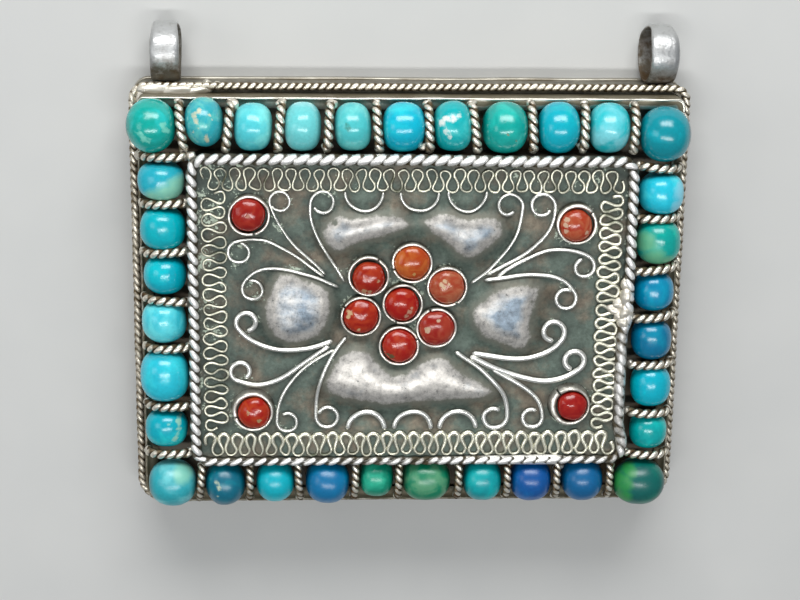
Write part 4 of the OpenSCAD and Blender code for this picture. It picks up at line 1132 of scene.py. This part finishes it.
# [body, cloud, chip colour, share of full size, how far it sits off its collar's middle in mm, chips as x, y
# and radius in mm from the middle]
corals = [
    ["#9f130a", "#af351b", "#b88a72", 0.97, [-0.07, -0.07],
     [[0.7, -0.6, 0.28], [0.4, -0.9, 0.2], [0.9, -0.2, 0.16]]],
    ["#ac4012", "#bf6529", "#b98c50", 1.0, [0, 0], [[0.2, -0.9, 0.16]]],
    ["#981b09", "#ae3b1c", "#b08a68", 0.94, [0, -0.2],
     [[-0.45, -1.1, 0.24], [0.1, -1.2, 0.2], [0.9, -0.1, 0.16]]],
    ["#9a1807", "#b13618", "#c8a478", 1.0, [0, 0],
     [[-1.15, 0.55, 0.24], [-1.25, 0.1, 0.18], [-0.2, -1.2, 0.14]]],
    ["#a0170c", "#b43e24", "#5e5232", 0.98, [0.03, 0], [[-0.75, -1.0, 0.26], [-1.1, -0.7, 0.16]]],
    ["#971d13", "#a9442e", "#c0a084", 1.0, [0, 0], [[-0.85, 0, 0.26], [0.1, 0.9, 0.16]]],
    ["#a44228", "#b16d4c", "#c8a884", 1.0, [0, 0],
     [[-0.3, 0.75, 0.18], [-0.65, 0.4, 0.18], [-0.3, 0.1, 0.18], [0.1, 0.4, 0.18]]],
    ["#94150e", "#a6301f", "#b07058", 0.95, [-0.06, 0.1], [[-0.1, 0.0, 0.16]]],
    ["#a62f15", "#b66140", "#c8a488", 0.94, [-0.1, -0.16],
     [[-1.0, 0.7, 0.24], [-1.15, 0.2, 0.26], [-1.0, -0.4, 0.2], [1.0, -0.5, 0.2]]],
    ["#a41909", "#b8451f", "#a88a60", 0.93, [0.12, -0.12], [[-0.6, 0.4, 0.2], [0.5, -0.6, 0.16]]],
    ["#950f0f", "#a9291d", "#b07860", 0.87, [0.24, -0.06], []]]


def red_coral(name, body, cloud, chip):
    """Polished precious coral, refractive index 1.55: two close reds in soft streaks, with dull chips of
    their own colour where the mark attribute is high."""
    made, add, finish = new_material(name)
    place = add("TexCoord", out="Object")
    clouds = add("TexNoise", {"Vector": place, "Scale": PER_MM / 1.3, "Detail": 4.0, "Distortion": 1.2})
    clouds = add("MapRange", {"Value": clouds, "From Min": 0.42, "From Max": 0.66})
    tint = add("Mix", {"Factor": clouds, "A": srgb(body), "B": srgb(cloud)}, data_type="RGBA")
    grain = add("TexNoise", {"Vector": place, "Scale": PER_MM / 0.25, "Detail": 4.0, "Roughness": 0.7})
    ragged = add("Math", {0: grain, 1: 2.0, 2: -1.0}, operation="MULTIPLY_ADD")
    chipped = add("Attribute", out="Fac", attribute_name="mark")
    chipped = add("Math", {0: chipped, 1: ragged}, operation="ADD")
    chipped = add("MapRange", {"Value": chipped, "From Min": 0.4, "From Max": 0.8})
    sunk = add("Math", {0: chipped, 1: -1.0, 2: grain}, operation="MULTIPLY_ADD")
    finish({
        "Base Color": add("Mix", {"Factor": chipped, "A": tint, "B": srgb(chip)}, data_type="RGBA"),
        "Roughness": add("MapRange", {"Value": chipped, "To Min": 0.17, "To Max": 0.4}),
        "Normal": add("Bump", {"Height": sunk, "Strength": 0.35, "Distance": 0.025 * MM}),
        "IOR": 1.55})
    return made


# Rings of the dome: from the middle of the base, out, up a short side, and over the crown in equal angles
climb = np.radians(np.linspace(0, 86, 15))
out_share = np.concatenate([[0.5, 0.97, 1.0], np.cos(climb)])[:, None, None]
height = np.concatenate([[0, 0, 0.06], CORAL_SHOULDER + (CORAL_TOP - CORAL_SHOULDER) * np.sin(climb)])
height = np.repeat(height[:, None, None], CORAL_FACETS, 1)
circle = on_circle(np.linspace(0, 2 * np.pi, CORAL_FACETS, endpoint=False))
for k, (body, cloud, chip, size, seat, chips) in enumerate(corals):
    node = "coral_%d" % (k + 1)
    oval = 1 + 0.022 * wobble(circle, 1.6, 1000 + k)
    rings = np.concatenate([CORAL_R * size * out_share * (oval[:, None] * circle), height], 2)
    rings[3:] *= 1 + 0.02 * wobble(rings[3:], 1.3, 1050 + k)[..., None]
    middle = np.append(coral_middles[k] + seat, coral_foot)
    shape = skin(rings + middle, np.ones(len(rings)))
    add_piece(
        "coral_stone_%d" % (k + 1), shape, red_coral("red_" + node, body, cloud, chip), "coral", node,
        mark=near_marks(shape[0], middle, chips, 1100 + k))


# Bails. A strip of silver is bent into a ring at each top corner and soldered to the case's wall. The strip
# is hammered, rounded at its edges, bright where a cord rubbed it, and stained brown by the solder at its
# foot.
BAIL_R = 2.95
BAIL_THICK = 0.45
BAIL_WIDTH = 2.75
BAIL_STEPS = 72
# Place of a ring's middle on the other two axes, and the middle and half widths of the solder at its foot
BAIL_Y, BAIL_Z = 24.0, 3.0
FOOT_Y, FOOT_Z = 21.25, 2.95
BAIL_FOOT = [1.15, 0.34, 0.95]
# Section of the strip: [share of half the width, share of the thickness]
bail_section = np.array([
    [-1.0, 0.2], [-0.96, 0.55], [-0.86, 0.8], [-0.6, 0.95], [-0.2, 1.0], [0.2, 1.0], [0.6, 0.95],
    [0.86, 0.8], [0.96, 0.55], [1.0, 0.2], [0.96, 0.06], [0.85, 0.0], [0.3, 0.0], [-0.3, 0.0], [-0.85, 0.0],
    [-0.96, 0.06]])


def bail_shape(x, twist, narrow, stained, seed):
    """A ring of strip: a domed section carried round a circle in the upright plane, uneven by hammering,
    narrower at the far end by the narrow share, and turned by the twist about the line it hangs in. Its outer
    face is rubbed most at the far end, and less at the foot by the stained share."""
    across, outward = bail_section.T
    circle = on_circle(np.linspace(0, 2 * np.pi, BAIL_STEPS, endpoint=False))
    wide = BAIL_WIDTH / 2 * (1 + 0.025 * wobble(circle, 1.7, seed))
    wide *= 1 - narrow * np.clip(2 * circle[:, 0] - 1, 0, 1) ** 2
    thinned = 1 - 0.07 * (1 + wobble(circle, 0.8, seed + 1))[:, None]
    radius = BAIL_R - BAIL_THICK + BAIL_THICK * outward * thinned
    side, far, up = wide[:, None] * across, radius * circle[:, :1], radius * circle[:, 1:]
    angle = np.radians(twist)
    turned = np.stack([
        side * np.cos(angle) + up * np.sin(angle), far, up * np.cos(angle) - side * np.sin(angle)], 2)
    rubbed = np.clip(circle[:, :1] + 1.3 - stained, 0, 0.85) * np.where(outward > 0.5, 1, 0.4)
    points, faces, wear = lump([x, FOOT_Y, FOOT_Z], BAIL_FOOT, seed + 2)
    return joined([closed_band(turned + [x, BAIL_Y, BAIL_Z], rubbed), (points, faces, 0.3 * wear)])


bail_silver = old_silver(
    "hammered_bail_strip", "#cfd0cf", "#625d52", "#57432a", (0.22, 0.85), (0.42, 0.56), 0.7, 0.09,
    (0.4, 0.95))
left = bail_shape(-23.45, 1.2, 0.16, 0.52, 1200)
add_piece("bail_strip_left", left, bail_silver, "bail_silver", "bail_left")
right = bail_shape(23.95, 4.5, 0.25, 0.2, 1210)
add_piece("bail_strip_right", right, bail_silver, "bail_silver", "bail_right")
